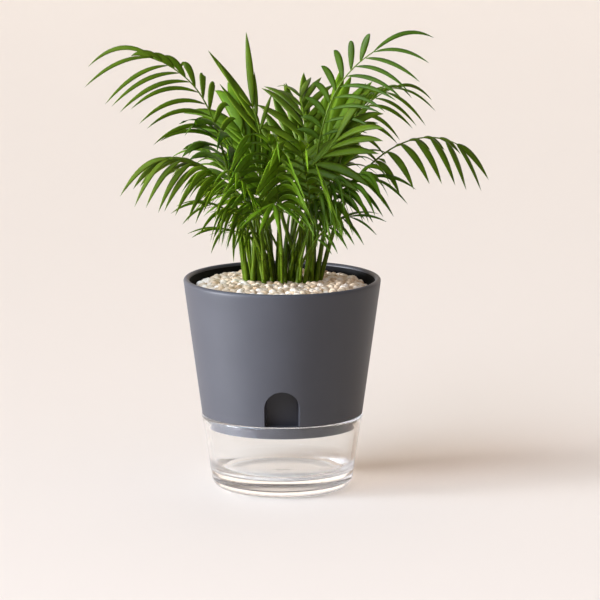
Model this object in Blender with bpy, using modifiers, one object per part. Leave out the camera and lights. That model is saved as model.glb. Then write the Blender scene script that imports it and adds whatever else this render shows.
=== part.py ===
"""Potted parlour palm in a two-part self-watering pot, in metres, +Z up.

The origin is the middle of the pot's flat underside and -Y is the front, where the
filling notch is. A thick-bottomed clear glass reservoir carries a tapered grey
planter, whose collar drops into the glass. Canes rise from a bed of pebbles and
carry pinnate fronds: a rib with leaflets fused along its two sides.
"""

from dataclasses import dataclass, replace
from math import cos, pi, radians, sin

import bmesh
import bpy
import numpy as np
from mathutils import Vector
from mathutils.bvhtree import BVHTree
from mathutils.geometry import delaunay_2d_cdt

# Pot
CLEARANCE = 0.0003
POT_SIDES = 48
RIM_RADIUS = 0.0750
RIM_HEIGHT = 0.1605
RIM_LIP = 0.0044
JOINT_RADIUS = 0.0609
JOINT_HEIGHT = 0.0570
PLANTER_WALL = 0.0034
PLANTER_FLOOR = 0.0032
COLLAR_DROP = 0.0095
COLLAR_WALL = 0.0028
FOOT_RADIUS = 0.0538
FOOT_ROUND = 0.0085
GLASS_WALL = 0.0036
GLASS_FLOOR = 0.0130
GLASS_INNER_ROUND = 0.0050

# Filling notch at the front of the planter
NOTCH_RADIUS = 0.01325
NOTCH_TOP = 0.0845
NOTCH_DEPTH = 0.0160
NOTCH_WALL = 0.0020
ARCH_STEPS = 10

# Soil and pebbles
SOIL_TOP = 0.1500
BED_EDGE_TOP = 0.1530
BED_CROWN_TOP = 0.1560
BED_FLAT_RADIUS = 0.0310
PEBBLES = 190
PEBBLE_APART = 0.0062
PEBBLE_RELIEF = 0.0024
PEBBLE_UNEVEN = 0.0006
PEBBLE_CAP = 0.62
GOLDEN_TURN = radians(137.507764)

# Canes
OUTER_CANES = 11
OUTER_SHIFT = 0.25
INNER_CANES = 5
INNER_SHIFT = 0.20
CLUMP_HALF_WIDTH = 0.0250
CLUMP_HALF_DEPTH = 0.0200
INNER_SHARE = 0.48
CANE_FOOT_RADIUS = 0.0021
CANE_TOP_RADIUS = 0.0018
CANE_SHORTEST = 0.014
CANE_TALLEST = 0.050
CANE_SHARE_OF_RISE = 0.30
CANE_LEAN = 2.2
CANE_LIMIT = 2
AIM_SHARE = 0.22
LOW_FROND = 0.230
STEEP_MIX = 0.25
FLAT_MIX = 0.55

# Ribs and leaflets
RIB_FOOT_RADIUS = 0.00085
RIB_TIP_RADIUS = 0.00050
STEM_STATIONS = 4
SPLIT_GAP = 0.0004
RIB_SAMPLES = 60
RIB_PAIR_OFFSET = 0.00155
RIB_START_GAP = 0.0009
LEAFLET_ROOT = 0.0026
LEAFLET_THICKNESS = 0.0007
LEAFLET_STATIONS = {1: (0.45,), 2: (0.34, 0.70)}
LEAFLET_WIDTHS = {1: (1.0,), 2: (1.0, 0.75)}
LEAFLET_SHORTEST = 0.76
LEAFLET_FOLD = radians(25)
LEAFLET_TILT = radians(16)
SWEEP_FIRST = radians(56)
SWEEP_LAST = radians(34)
SWEEP_END = radians(16)

# Overlap tests: how far a rib and a leaflet are grown, and a leaflet's first station
# and its width there when it is tested whole and past its root
GUARD = 0.0006
LEAFLET_GUARD = 0.0008
GUARD_LINES = ((0.0, 0.5), (0.16, 0.8))

# What a piece that meets another changes, in turn: a leaflet's droop and sweep,
# a rib's straightness and its tip's turn about the axis in degrees
LEAFLET_TRIES = ((0, 0), (0.14, 0), (-0.14, 0), (0, 0.16), (0, -0.16), (0.2, 0.14), (-0.2, -0.14))
RIB_TRIES = ((0, 0), (0.08, 0), (-0.08, 0), (0, 8), (0, -8), (0.08, 12), (0.08, -12), (0, 16), (0, -16))
SEED = 7

UP = np.array((0.0, 0.0, 1.0))


@dataclass
class Frond:
    """One frond. tip is the end of its rib, angles are in degrees, and a leaflet's
    width is a share of its length."""

    name: str
    tip: tuple
    end_pitch: float
    roll: float
    leaflet: float
    blade_start: float
    pairs: int
    straightness: float
    droop: float
    width: float
    opening: float = 0.0
    bends: int = 2
    split: bool = False


# The fronds that draw the outline seen from the front
OUTLINE_FRONDS = (
    Frond("frond_top_left", (-0.096, -0.015, 0.330), 26, -50, 0.060, 0.46, 8, 0.60, 0.58, 0.105, -10),
    Frond("frond_upright", (-0.022, 0.014, 0.288), 68, -60, 0.061, 0.78, 2, 0.45, 0.10, 0.145, -18),
    Frond("frond_left", (-0.084, -0.030, 0.256), 4, -30, 0.052, 0.42, 7, 0.50, 0.62, 0.115, -8),
    Frond("frond_low_left", (-0.052, -0.034, 0.222), 18, -30, 0.037, 0.35, 5, 0.35, 0.45, 0.090),
    Frond("frond_lowest_left", (-0.043, -0.040, 0.204), 12, -30, 0.034, 0.30, 4, 0.35, 0.45, 0.090),
    Frond("frond_top_right", (0.068, -0.015, 0.334), 34, 60, 0.050, 0.46, 8, 0.50, 0.45, 0.120, -6),
    Frond("frond_upper_right", (0.084, 0.012, 0.303), 18, 35, 0.042, 0.50, 7, 0.46, 0.48, 0.110, -4),
    Frond("frond_arching_right", (0.131, -0.010, 0.264), -26, 32, 0.042, 0.48, 8, 0.45, 0.50, 0.140,
          split=True),
    Frond("frond_right", (0.064, -0.020, 0.240), 14, 30, 0.042, 0.42, 6, 0.42, 0.48, 0.115),
    Frond("frond_low_right", (0.050, -0.036, 0.213), 14, 30, 0.037, 0.35, 5, 0.35, 0.45, 0.090),
    Frond("frond_front", (-0.006, -0.058, 0.226), -10, 0, 0.042, 0.72, 3, 0.50, 0.28, 0.190, 34),
    Frond("frond_back_top", (0.014, 0.042, 0.292), 30, 0, 0.050, 0.50, 6, 0.50, 0.40, 0.130),
)


@dataclass
class Tier:
    """Fronds of one height that fill the crown, at the given turns about the axis."""

    name: str
    reach: float
    height: float
    end_pitch: float
    leaflet: float
    blade_start: float
    pairs: int
    straightness: float
    droop: float
    width: float
    deeper: float
    turns: tuple


TIERS = (
    Tier("high", 0.045, 0.266, 58, 0.047, 0.36, 8, 0.50, 0.22, 0.165, 0.10,
         (35, 67, 129, 212, 261, 289, 337)),
    Tier("middle", 0.058, 0.246, 42, 0.041, 0.40, 7, 0.50, 0.26, 0.160, 0.40,
         (38, 71, 110, 152, 221, 246, 304, 333)),
    Tier("low", 0.054, 0.224, 14, 0.038, 0.46, 5, 0.45, 0.34, 0.100, 0.10,
         (76, 144, 229, 308)),
)

# How far a tier's fronds roll to show their blades to the front, in degrees
TIER_TWIST = 45.0


def unit(vector):
    """The same direction at length one."""
    return vector / np.linalg.norm(vector)


def material(name, colour, roughness, metallic=0.0, transmission=0.0):
    """A Principled material."""
    made = bpy.data.materials.new(name)
    made.use_nodes = True
    shader = made.node_tree.nodes["Principled BSDF"]
    shader.inputs["Base Color"].default_value = (*colour, 1.0)
    shader.inputs["Roughness"].default_value = roughness
    shader.inputs["Metallic"].default_value = metallic
    shader.inputs["Transmission Weight"].default_value = transmission
    return made


def clear_scene():
    """Removes whatever the scene starts with."""
    for thing in list(bpy.data.objects):
        bpy.data.objects.remove(thing, do_unlink=True)


def collection(name):
    """A new collection in the scene."""
    made = bpy.data.collections.new(name)
    bpy.context.scene.collection.children.link(made)
    return made


def mesh_object(name, points, faces, home, finish=None):
    """An object from plain lists of points and faces."""
    mesh = bpy.data.meshes.new(name)
    mesh.from_pydata([tuple(map(float, point)) for point in points], [], faces)
    made = bpy.data.objects.new(name, mesh)
    home.objects.link(made)
    if finish:
        mesh.materials.append(finish)
    return made


def turned(name, profile, home, finish=None):
    """A solid turned about Z from an (r, z) profile that runs from axis to axis."""
    edges = [(i, i + 1) for i in range(len(profile) - 1)]
    mesh = bpy.data.meshes.new(name)
    mesh.from_pydata([(r, 0.0, z) for r, z in profile], edges, [])
    made = bpy.data.objects.new(name, mesh)
    home.objects.link(made)
    screw = made.modifiers.new("Turn", "SCREW")
    screw.steps = POT_SIDES
    screw.render_steps = POT_SIDES
    screw.use_merge_vertices = True
    screw.merge_threshold = 0.00001
    screw.use_smooth_shade = True
    if finish:
        mesh.materials.append(finish)
    return made


def as_cutter(thing):
    """Hides a helper that a Boolean reads."""
    thing.hide_render = True
    thing.display_type = "WIRE"
    return thing


def boolean(target, helper, operation):
    """A Boolean that stays on its object."""
    step = target.modifiers.new(operation.title(), "BOOLEAN")
    step.operation = operation
    step.solver = "EXACT"
    step.object = helper


def quarter_round(centre_r, centre_z, radius, start, end, steps=3):
    """Points of an arc in the (r, z) plane, angles in degrees."""
    turns = np.linspace(radians(start), radians(end), steps + 1)
    return [(centre_r + radius * cos(a), centre_z + radius * sin(a)) for a in turns]


def planter_radius(z):
    """Outer radius of the planter at a height."""
    share = (z - JOINT_HEIGHT) / (RIM_HEIGHT - JOINT_HEIGHT)
    return JOINT_RADIUS + share * (RIM_RADIUS - JOINT_RADIUS)


def glass_radius(z):
    """Outer radius of the glass above its rounded foot."""
    share = (z - FOOT_ROUND) / (JOINT_HEIGHT - FOOT_ROUND)
    return FOOT_RADIUS + share * (JOINT_RADIUS - FOOT_RADIUS)


def glass_profile():
    """The glass from the middle of its inner floor, over its lip and down outside."""
    top = JOINT_HEIGHT - CLEARANCE
    lip = GLASS_WALL / 2
    inner_corner = glass_radius(GLASS_FLOOR + GLASS_INNER_ROUND) - GLASS_WALL
    points = [(0.0, GLASS_FLOOR)]
    points += quarter_round(
        inner_corner - GLASS_INNER_ROUND, GLASS_FLOOR + GLASS_INNER_ROUND, GLASS_INNER_ROUND, -90, 0
    )
    middle = glass_radius(top - lip) - lip
    points += quarter_round(middle, top - lip, lip, 180, 0, 4)
    points += quarter_round(FOOT_RADIUS - FOOT_ROUND, FOOT_ROUND, FOOT_ROUND, 0, -90, 4)
    points.append((0.0, 0.0))
    return points


def planter_profile():
    """The planter from the middle of its floor, over its rim, down outside, round its collar."""
    floor_top = JOINT_HEIGHT + PLANTER_FLOOR
    lip = RIM_LIP / 2
    collar_top = JOINT_RADIUS - GLASS_WALL - 2 * CLEARANCE
    collar_foot = glass_radius(JOINT_HEIGHT - COLLAR_DROP) - GLASS_WALL - 2 * CLEARANCE
    lip_middle = planter_radius(RIM_HEIGHT - lip) - lip
    points = [
        (0.0, floor_top),
        (planter_radius(floor_top) - PLANTER_WALL, floor_top),
        (planter_radius(RIM_HEIGHT - 0.012) - PLANTER_WALL, RIM_HEIGHT - 0.012),
    ]
    points += quarter_round(lip_middle, RIM_HEIGHT - lip, lip, 180, 0, 4)
    points += [
        (JOINT_RADIUS, JOINT_HEIGHT),
        (collar_top, JOINT_HEIGHT),
        (collar_foot, JOINT_HEIGHT - COLLAR_DROP),
        (collar_foot - COLLAR_WALL, JOINT_HEIGHT - COLLAR_DROP),
        (collar_top - COLLAR_WALL, JOINT_HEIGHT),
        (0.0, JOINT_HEIGHT),
    ]
    return points


def arch_prism(name, radius, bottom, top, front, back, home):
    """An upright prism with a round arched top, running along Y."""
    spring = top - radius
    outline = [(-radius, bottom), (radius, bottom)]
    outline += [(radius * cos(a), spring + radius * sin(a)) for a in np.linspace(0, pi, ARCH_STEPS + 1)]
    count = len(outline)
    points = [(x, front, z) for x, z in outline] + [(x, back, z) for x, z in outline]
    faces = [tuple(range(count)), tuple(range(2 * count - 1, count - 1, -1))]
    faces += [(i, i + count, (i + 1) % count + count, (i + 1) % count) for i in range(count)]
    made = mesh_object(name, points, faces, home)
    shape = bmesh.new()
    shape.from_mesh(made.data)
    bmesh.ops.recalc_face_normals(shape, faces=shape.faces)
    shape.to_mesh(made.data)
    shape.free()
    return made


def build_pot(home, cutters):
    """The glass reservoir, the planter with its filling notch, and the soil."""
    front = -(JOINT_RADIUS - NOTCH_DEPTH)
    far = -2 * RIM_RADIUS
    glass = material("clear_glass", (0.95, 0.97, 0.96), 0.02, transmission=1.0)
    turned("glass_reservoir", glass_profile(), home, glass)

    grey = material("grey_moulded_plastic", (0.10, 0.10, 0.11), 0.55)
    planter = turned("planter", planter_profile(), home, grey)
    core = (
        (0.0, RIM_HEIGHT),
        (planter_radius(RIM_HEIGHT) - PLANTER_WALL / 2, RIM_HEIGHT),
        (planter_radius(JOINT_HEIGHT) - PLANTER_WALL / 2, JOINT_HEIGHT),
        (0.0, JOINT_HEIGHT),
    )
    inside = as_cutter(turned("inside_of_planter", core, cutters))
    housing = arch_prism(
        "notch_housing", NOTCH_RADIUS + NOTCH_WALL, JOINT_HEIGHT + PLANTER_FLOOR / 2,
        NOTCH_TOP + NOTCH_WALL, far, front + NOTCH_WALL, cutters,
    )
    boolean(as_cutter(housing), inside, "INTERSECT")
    notch = arch_prism(
        "notch_void", NOTCH_RADIUS, JOINT_HEIGHT - CLEARANCE, NOTCH_TOP, far, front, cutters,
    )
    boolean(planter, housing, "UNION")
    boolean(planter, as_cutter(notch), "DIFFERENCE")

    earth = material("potting_soil", (0.035, 0.022, 0.014), 0.95)
    low = JOINT_HEIGHT + PLANTER_FLOOR + CLEARANCE
    clear = PLANTER_WALL + 2 * CLEARANCE
    soil = turned(
        "soil",
        (
            (0.0, SOIL_TOP),
            (planter_radius(SOIL_TOP) - clear - RIM_LIP / 4, SOIL_TOP),
            (planter_radius(low) - clear, low),
            (0.0, low),
        ),
        home,
        earth,
    )
    hollow = arch_prism(
        "notch_in_soil", NOTCH_RADIUS + NOTCH_WALL + 2 * CLEARANCE, JOINT_HEIGHT,
        NOTCH_TOP + NOTCH_WALL + 2 * CLEARANCE, far, front + NOTCH_WALL + 2 * CLEARANCE, cutters,
    )
    boolean(soil, as_cutter(hollow), "DIFFERENCE")


def bed_radius():
    """The radius of the pebble bed, which stays clear of the planter's wall."""
    return planter_radius(SOIL_TOP) - PLANTER_WALL - RIM_LIP / 4 - 3 * CLEARANCE


def bed_height(place):
    """Height of the mound's surface: flat where the canes stand, then falling to its edge."""
    share = (np.hypot(*place) - BED_FLAT_RADIUS) / (bed_radius() - BED_FLAT_RADIUS)
    return BED_CROWN_TOP + max(share, 0.0) ** 1.5 * (BED_EDGE_TOP - BED_CROWN_TOP)


def pebble_places():
    """Middles of the pebbles: one under each cane, the rest on a sunflower's spiral."""
    feet = cane_feet()
    places = [tuple(foot) for foot in feet]
    reach = bed_radius() - PEBBLE_APART / 2
    for k in range(PEBBLES):
        radius, turn = reach * np.sqrt((k + 0.5) / PEBBLES), k * GOLDEN_TURN
        place = np.array((radius * cos(turn), radius * sin(turn)))
        if np.linalg.norm(feet - place, axis=1).min() > PEBBLE_APART:
            places.append(tuple(place))
    return places


def bed_cells():
    """The pebbles' middles, the points between them and the ring of those round each.

    The rim's points come after the pebbles' middles, and each triangle between
    neighbours gives one point, at its middle.
    """
    places = pebble_places()
    edge = bed_radius()
    turns = np.arange(POT_SIDES) * 2 * pi / POT_SIDES
    rim = [(edge * cos(turn), edge * sin(turn)) for turn in turns]
    flat, _, triangles, sources, *_ = delaunay_2d_cdt(
        [Vector(place) for place in places + rim], [], [], 0, CLEARANCE / 10
    )
    triangles = [[sources[corner][0] for corner in triangle] for triangle in triangles]
    flat = np.array(places + rim)
    between = [flat[triangle].mean(axis=0) for triangle in triangles]
    rings = {index: [] for index in range(len(flat))}
    for number, triangle in enumerate(triangles):
        for corner in triangle:
            rings[corner].append(number)
    for corner, ring in rings.items():
        away = np.array([between[number] for number in ring]) - flat[corner]
        inward = np.arctan2(-flat[corner][1], -flat[corner][0])
        angles = (np.arctan2(away[:, 1], away[:, 0]) - inward + pi) % (2 * pi)
        rings[corner] = [ring[k] for k in np.argsort(angles)]
    return places, rim, between, rings


def build_pebble_bed(home):
    """A low mound of pebbles in relief, each a flat-topped stone between grooves."""
    stone = material("cream_pebbles", (0.72, 0.66, 0.56), 0.75)
    chance = np.random.default_rng(SEED)
    places, rim, between, rings = bed_cells()
    points = [(*groove, bed_height(groove) - PEBBLE_RELIEF) for groove in between]
    rim_start = len(points)
    points += [(*place, BED_EDGE_TOP - PEBBLE_RELIEF) for place in rim]
    faces = []
    for index, place in enumerate(places):
        uneven = 0.0 if index < OUTER_CANES + INNER_CANES else chance.uniform(0.0, PEBBLE_UNEVEN)
        top = bed_height(place) - uneven
        ring, first = rings[index], len(points)
        points += [(*(np.array(place) + PEBBLE_CAP * (between[k] - np.array(place))), top) for k in ring]
        faces.append(tuple(range(first, len(points))))
        for k, groove in enumerate(ring):
            after = (k + 1) % len(ring)
            faces.append((first + k, groove, ring[after], first + after))
    for k in range(POT_SIDES):
        after = (k + 1) % POT_SIDES
        ring = rings[len(places) + k]
        if len(ring) > 1:
            faces.append((rim_start + k, *ring))
        faces.append((rim_start + k, rim_start + after, ring[0]))
    foot = len(points)
    base = SOIL_TOP + CLEARANCE
    points += [(*place, base) for place in rim]
    for k in range(POT_SIDES):
        after = (k + 1) % POT_SIDES
        faces.append((rim_start + k, foot + k, foot + after, rim_start + after))
    faces.append(tuple(range(foot + POT_SIDES - 1, foot - 1, -1)))
    mesh_object("pebble_bed", points, faces, home, stone)


def slab(places, across, over, half_widths, half_depths):
    """Points and faces of a four-sided solid along a path, closed at both ends."""
    wide = across * np.reshape(half_widths, (-1, 1))
    deep = over * np.reshape(half_depths, (-1, 1))
    corners = (deep - wide, deep + wide, wide - deep, -wide - deep)
    rings = np.stack([places + corner for corner in corners], axis=1)
    count = 4 * len(places)
    faces = [
        (ring + i, ring + (i + 1) % 4, ring + 4 + (i + 1) % 4, ring + 4 + i)
        for ring in range(0, count - 4, 4)
        for i in range(4)
    ]
    faces += [(3, 2, 1, 0), (count - 4, count - 3, count - 2, count - 1)]
    return rings.reshape(-1, 3), faces


def cane_feet():
    """The canes' places: an outer and an inner oval."""
    feet = []
    for count, share, shift in ((OUTER_CANES, 1.0, OUTER_SHIFT), (INNER_CANES, INNER_SHARE, INNER_SHIFT)):
        for k in range(count):
            turn = 2 * pi * (k + shift) / count
            feet.append((share * CLUMP_HALF_WIDTH * cos(turn), share * CLUMP_HALF_DEPTH * sin(turn)))
    return np.array(feet)


def crown_fronds():
    """The outline fronds and, by a seeded rule, those that fill the crown."""
    chance = np.random.default_rng(SEED)
    fronds = list(OUTLINE_FRONDS)
    for tier in TIERS:
        for k, turn in enumerate(tier.turns):
            reach = tier.reach * chance.uniform(0.92, 1.06) * (1 + tier.deeper * sin(radians(turn)) ** 2)
            height = tier.height + chance.uniform(-0.005, 0.005)
            pitch = tier.end_pitch + chance.uniform(-6, 6)
            roll = TIER_TWIST * cos(radians(turn)) + chance.uniform(-14, 14)
            tip = (reach * cos(radians(turn)), reach * sin(radians(turn)), height)
            fronds.append(
                Frond(
                    f"frond_{tier.name}_{k + 1}", tip, pitch, roll, tier.leaflet,
                    tier.blade_start, tier.pairs, tier.straightness, tier.droop, tier.width,
                    bends=1,
                )
            )
    return fronds


def share_out(fronds, feet):
    """Which cane each frond rises from: the nearest to its aim that has room."""
    room = np.full(len(feet), CANE_LIMIT)
    canes = {}
    for frond in sorted(fronds, key=lambda frond: -np.hypot(*frond.tip[:2])):
        aim = AIM_SHARE * np.array(frond.tip[:2])
        distance = np.linalg.norm(feet - aim, axis=1)
        chosen = int(np.argmin(np.where(room > 0, distance, np.inf)))
        room[chosen] -= 1
        canes[frond.name] = chosen
    return canes


def cane_line(foot, fronds):
    """Foot, a point straight above it and top of a cane that leans to its fronds."""
    mean = np.mean([frond.tip for frond in fronds], axis=0)
    base = np.array((*foot, BED_CROWN_TOP + CLEARANCE))
    rise = np.clip(CANE_SHARE_OF_RISE * (mean[2] - base[2]), CANE_SHORTEST, CANE_TALLEST)
    lean = (mean[:2] - foot) * CANE_LEAN * rise
    top = base + np.array((*lean, rise))
    return base, base + UP * 0.12 * rise + np.array((*lean, 0.0)) * 0.03, top


def build_cane(name, line, home, finish):
    """A tapered tube from the flat cut at its foot to its top."""
    curve = bpy.data.curves.new(name, "CURVE")
    curve.dimensions = "3D"
    curve.bevel_depth = 1.0
    curve.bevel_resolution = 1
    curve.use_fill_caps = True
    spline = curve.splines.new("POLY")
    spline.points.add(len(line) - 1)
    for k, place in enumerate(line):
        share = (place[2] - line[0][2]) / (line[-1][2] - line[0][2])
        spline.points[k].co = (*map(float, place), 1.0)
        spline.points[k].radius = CANE_FOOT_RADIUS + share * (CANE_TOP_RADIUS - CANE_FOOT_RADIUS)
    made = bpy.data.objects.new(name, curve)
    home.objects.link(made)
    curve.materials.append(finish)
    return made


def rib_curve(frond, start, heading):
    """Points of a cubic curve that leaves along heading and ends at its pitch."""
    tip = np.array(frond.tip)
    length = np.linalg.norm(tip - start)
    flat = tip - start
    flat[2] = 0.0
    pitch = radians(frond.end_pitch)
    end = unit(flat) * cos(pitch) + UP * sin(pitch)
    near = start + heading * frond.straightness * length
    far = tip - end * 0.34 * length
    t = np.linspace(0.0, 1.0, RIB_SAMPLES)[:, None]
    return (1 - t) ** 3 * start + 3 * (1 - t) ** 2 * t * near + 3 * (1 - t) * t**2 * far + t**3 * tip


def curve_length(curve):
    """The length of a curve of many points."""
    return np.linalg.norm(np.diff(curve, axis=0), axis=1).sum()


def along(curve, shares):
    """Places and directions at shares of the curve's length."""
    steps = np.linalg.norm(np.diff(curve, axis=0), axis=1)
    length = np.concatenate(((0.0,), np.cumsum(steps)))
    length /= length[-1]

    def place(share):
        return np.stack([np.interp(share, length, curve[:, axis]) for axis in range(3)], axis=-1)

    shares = np.asarray(shares, float)
    ahead = place(np.minimum(shares + 0.01, 1.0)) - place(np.maximum(shares - 0.01, 0.0))
    return place(shares), ahead / np.linalg.norm(ahead, axis=-1, keepdims=True)


def blade_axes(direction, roll):
    """The blade's normal and sideways directions, turned about the rib by roll."""
    side = unit(np.cross(direction, UP))
    normal = unit(np.cross(side, direction))
    c, s = cos(radians(roll)), sin(radians(roll))
    return normal * c + side * s, side * c - normal * s


def rib_radius(shares):
    """Half the rib's width at shares of its length."""
    return RIB_FOOT_RADIUS + np.asarray(shares) * (RIB_TIP_RADIUS - RIB_FOOT_RADIUS)


def rib_stations(frond, curve):
    """Shares along the stem, and the foot and tip share of each pair's roots."""
    root = LEAFLET_ROOT / curve_length(curve)
    stem = np.linspace(0.0, frond.blade_start, STEM_STATIONS + 1)[:-1]
    middles = np.linspace(frond.blade_start, 1.0, frond.pairs + 1)[:-1]
    return stem, [(middle - root / 2, middle + root / 2) for middle in middles]


def rib_shares(frond, curve):
    """Every station of the rib, foot to tip, as shares of its length."""
    stem, roots = rib_stations(frond, curve)
    return np.concatenate((stem, np.ravel(roots), (1.0,)))


def rib_edges(curve, shares):
    """Places, sideways directions, normals and radii of the rib at shares of its length."""
    places, directions = along(curve, shares)
    axes = [blade_axes(direction, 0.0) for direction in directions]
    across = np.array([side for _, side in axes])
    over = np.array([normal for normal, _ in axes])
    return places, across, over, rib_radius(shares)


def rib_strip(curve, shares):
    """Points down the rib's two sides, in pairs, and their shares of the foot's radius."""
    places, across, _, radii = rib_edges(curve, shares)
    reach = across * radii[:, None]
    points = np.stack((places - reach, places + reach), axis=1).reshape(-1, 3)
    return list(points), list(np.repeat(radii / RIB_FOOT_RADIUS, 2))


def strip_faces(stations):
    """Quads between the pairs of points at a count of stations."""
    return [(2 * i, 2 * i + 1, 2 * i + 3, 2 * i + 2) for i in range(stations - 1)]


def rib_slab(curve, shares, extra=0.0):
    """The rib's solid over some shares, grown by extra, for overlap tests."""
    places, across, over, radii = rib_edges(curve, shares)
    return slab(places, across, over, radii + extra, radii + extra)


@dataclass
class Leaflet:
    """A pointed blade: its middle line, width directions, normals and half widths."""

    hand: int
    path: np.ndarray
    across: np.ndarray
    over: np.ndarray
    half_widths: np.ndarray

    def edges(self):
        """The edge nearer the frond's foot and the edge nearer its tip."""
        turned_across = self.hand * self.across * cos(LEAFLET_TILT) + self.over * sin(LEAFLET_TILT)
        reach = turned_across * self.half_widths[:, None]
        return self.path + reach, self.path - reach

    def solid(self, extra=0.0):
        """A four-sided solid round the blade, grown by extra, for overlap tests."""
        side = self.across * cos(LEAFLET_TILT) + self.hand * self.over * sin(LEAFLET_TILT)
        over = self.over * cos(LEAFLET_TILT) - self.hand * self.across * sin(LEAFLET_TILT)
        half_depths = np.full(len(self.path), LEAFLET_THICKNESS / 2 + extra)
        return slab(self.path, side, over, self.half_widths + extra, half_depths)


def leaflet(place, direction, axes, hand, pose, stations, widths):
    """A leaflet that leaves the rib by its sweep and bends down with its droop."""
    sweep, droop, length, width = pose
    normal, side = axes
    outward = hand * side * cos(LEAFLET_FOLD) - normal * sin(LEAFLET_FOLD)
    start = direction * cos(sweep) + outward * sin(sweep)
    fine = np.linspace(0.0, 1.0, 13)[:, None]
    bend = start * fine - UP * droop * fine**2
    scale = length / curve_length(bend)
    t = np.asarray(stations)[:, None]
    path = place + (start * t - UP * droop * t**2) * scale
    ahead = start - 2 * UP * droop * t
    ahead /= np.linalg.norm(ahead, axis=1, keepdims=True)
    over = normal - ahead * (ahead @ normal)[:, None]
    over /= np.linalg.norm(over, axis=1, keepdims=True)
    half_widths = np.asarray(widths) * width * length / 2
    return Leaflet(hand, path, np.cross(ahead, over), over, half_widths)


def leaflet_rows(frond, curve):
    """For each pair, foot to tip: its number, place, direction, axes, sweep and length."""
    shares = np.linspace(0.0, 1.0, frond.pairs + 1)
    places, directions = along(curve, frond.blade_start + (1.0 - frond.blade_start) * shares)
    for number, (share, place, direction) in enumerate(zip(shares, places, directions)):
        swell = sin(pi * (0.12 + 0.62 * share))
        length = frond.leaflet * (LEAFLET_SHORTEST + (1.0 - LEAFLET_SHORTEST) * swell)
        sweep = SWEEP_FIRST + share * (SWEEP_LAST - SWEEP_FIRST) + radians(frond.opening)
        if number == frond.pairs:
            sweep = SWEEP_END
        yield number, place, direction, blade_axes(direction, frond.roll), sweep, length


def tree_of(shape):
    """A search tree for overlap tests."""
    points, faces = shape
    return BVHTree.FromPolygons([tuple(point) for point in points], faces)


def touches(shape, trees):
    """True if the shape meets any of the others."""
    own = tree_of(shape)
    return any(own.overlap(other) for other in trees)


def grow_leaflets(frond, curve, own, others):
    """The frond's leaflets, by pair and hand, that stay clear of every other piece.

    A leaflet is tested from its root against the others, and past its root against
    its own frond's stem and leaflets.
    """
    stations = (*LEAFLET_STATIONS[frond.bends], 1.0)
    widths = LEAFLET_WIDTHS[frond.bends]
    lines = [((start, *stations), (root_width, *widths, 0.1)) for start, root_width in GUARD_LINES]
    grown, solids = {}, []
    for number, place, direction, axes, sweep, length in leaflet_rows(frond, curve):
        for hand in (-1, 1):
            for more_droop, more_sweep in LEAFLET_TRIES:
                pose = (sweep + more_sweep, frond.droop + more_droop, length, frond.width)
                whole, past_root = (leaflet(place, direction, axes, hand, pose, *line) for line in lines)
                if touches(whole.solid(LEAFLET_GUARD), others):
                    continue
                if touches(past_root.solid(LEAFLET_GUARD), own + solids):
                    continue
                grown[number, hand] = leaflet(place, direction, axes, hand, pose, stations, (*widths, 0.0))
                solids.append(tree_of(whole.solid()))
                break
    return grown, solids


def blade_surface(frond, curve, grown):
    """Points, thickness shares and faces of the rib with its leaflets as one surface."""
    stem, roots = rib_stations(frond, curve)
    if frond.split:
        stem = stem[-1:] + SPLIT_GAP / curve_length(curve)
    shares = np.concatenate((stem, np.ravel(roots), (1.0,)))
    points, weights = rib_strip(curve, shares)
    points.append(curve[-1])
    weights.append(weights[-1])
    middle = len(points) - 1
    last = middle - 2
    faces = strip_faces(len(shares) - 1)
    faces.append((last - 2, last - 1, last + 1, middle, last))
    thin = LEAFLET_THICKNESS / (2 * RIB_FOOT_RADIUS)
    for (number, hand), blade in grown.items():
        if number == frond.pairs:
            near, far = last + (hand > 0), middle
        else:
            near = 2 * (len(stem) + 2 * number) + (hand > 0)
            far = near + 2
        foot_edge, tip_edge = blade.edges()
        for k in range(len(blade.path)):
            first = len(points)
            if k == len(blade.path) - 1:
                points.append(blade.path[k])
                face = (near, first, far)
            else:
                points += [foot_edge[k], tip_edge[k]]
                face = (near, first, first + 1, far)
            faces.append(face if hand > 0 else face[::-1])
            near, far = first, first + 1
    weights += [thin] * (len(points) - len(weights))
    return points, weights, faces


def thickened(name, surface, home, finish):
    """An open surface made solid, thick at the rib and thin in the leaflets."""
    points, weights, faces = surface
    made = mesh_object(name, points, faces, home, finish)
    group = made.vertex_groups.new(name="thickness")
    for index, weight in enumerate(weights):
        group.add([index], float(weight), "REPLACE")
    solid = made.modifiers.new("Thickness", "SOLIDIFY")
    solid.thickness = 2 * RIB_FOOT_RADIUS
    solid.offset = 0.0
    solid.vertex_group = "thickness"
    return made


def stem_surface(curve, shares):
    """Points, thickness shares and faces of a bare stretch of rib."""
    return (*rib_strip(curve, shares), strip_faces(len(shares)))


def frond_start(frond, mates, line):
    """Where a frond's stem starts: just over its cane's top, beside its mate's."""
    direction = unit(line[-1] - line[-2])
    start = line[-1] + direction * RIB_START_GAP
    for mate in mates:
        if mate.name != frond.name:
            apart = np.append(np.array(frond.tip[:2]) - np.array(mate.tip[:2]), 0.0)
            start = start + unit(apart - direction * (apart @ direction)) * RIB_PAIR_OFFSET
    return start


def frond_curve(frond, mates, line):
    """The frond's rib, which leaves its cane partly along it and partly to the tip."""
    start = frond_start(frond, mates, line)
    toward = unit(np.array(frond.tip) - start)
    mix = STEEP_MIX if frond.tip[2] > LOW_FROND else FLAT_MIX
    return rib_curve(frond, start, unit(unit(line[-1] - line[-2]) * (1 - mix) + toward * mix))


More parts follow.
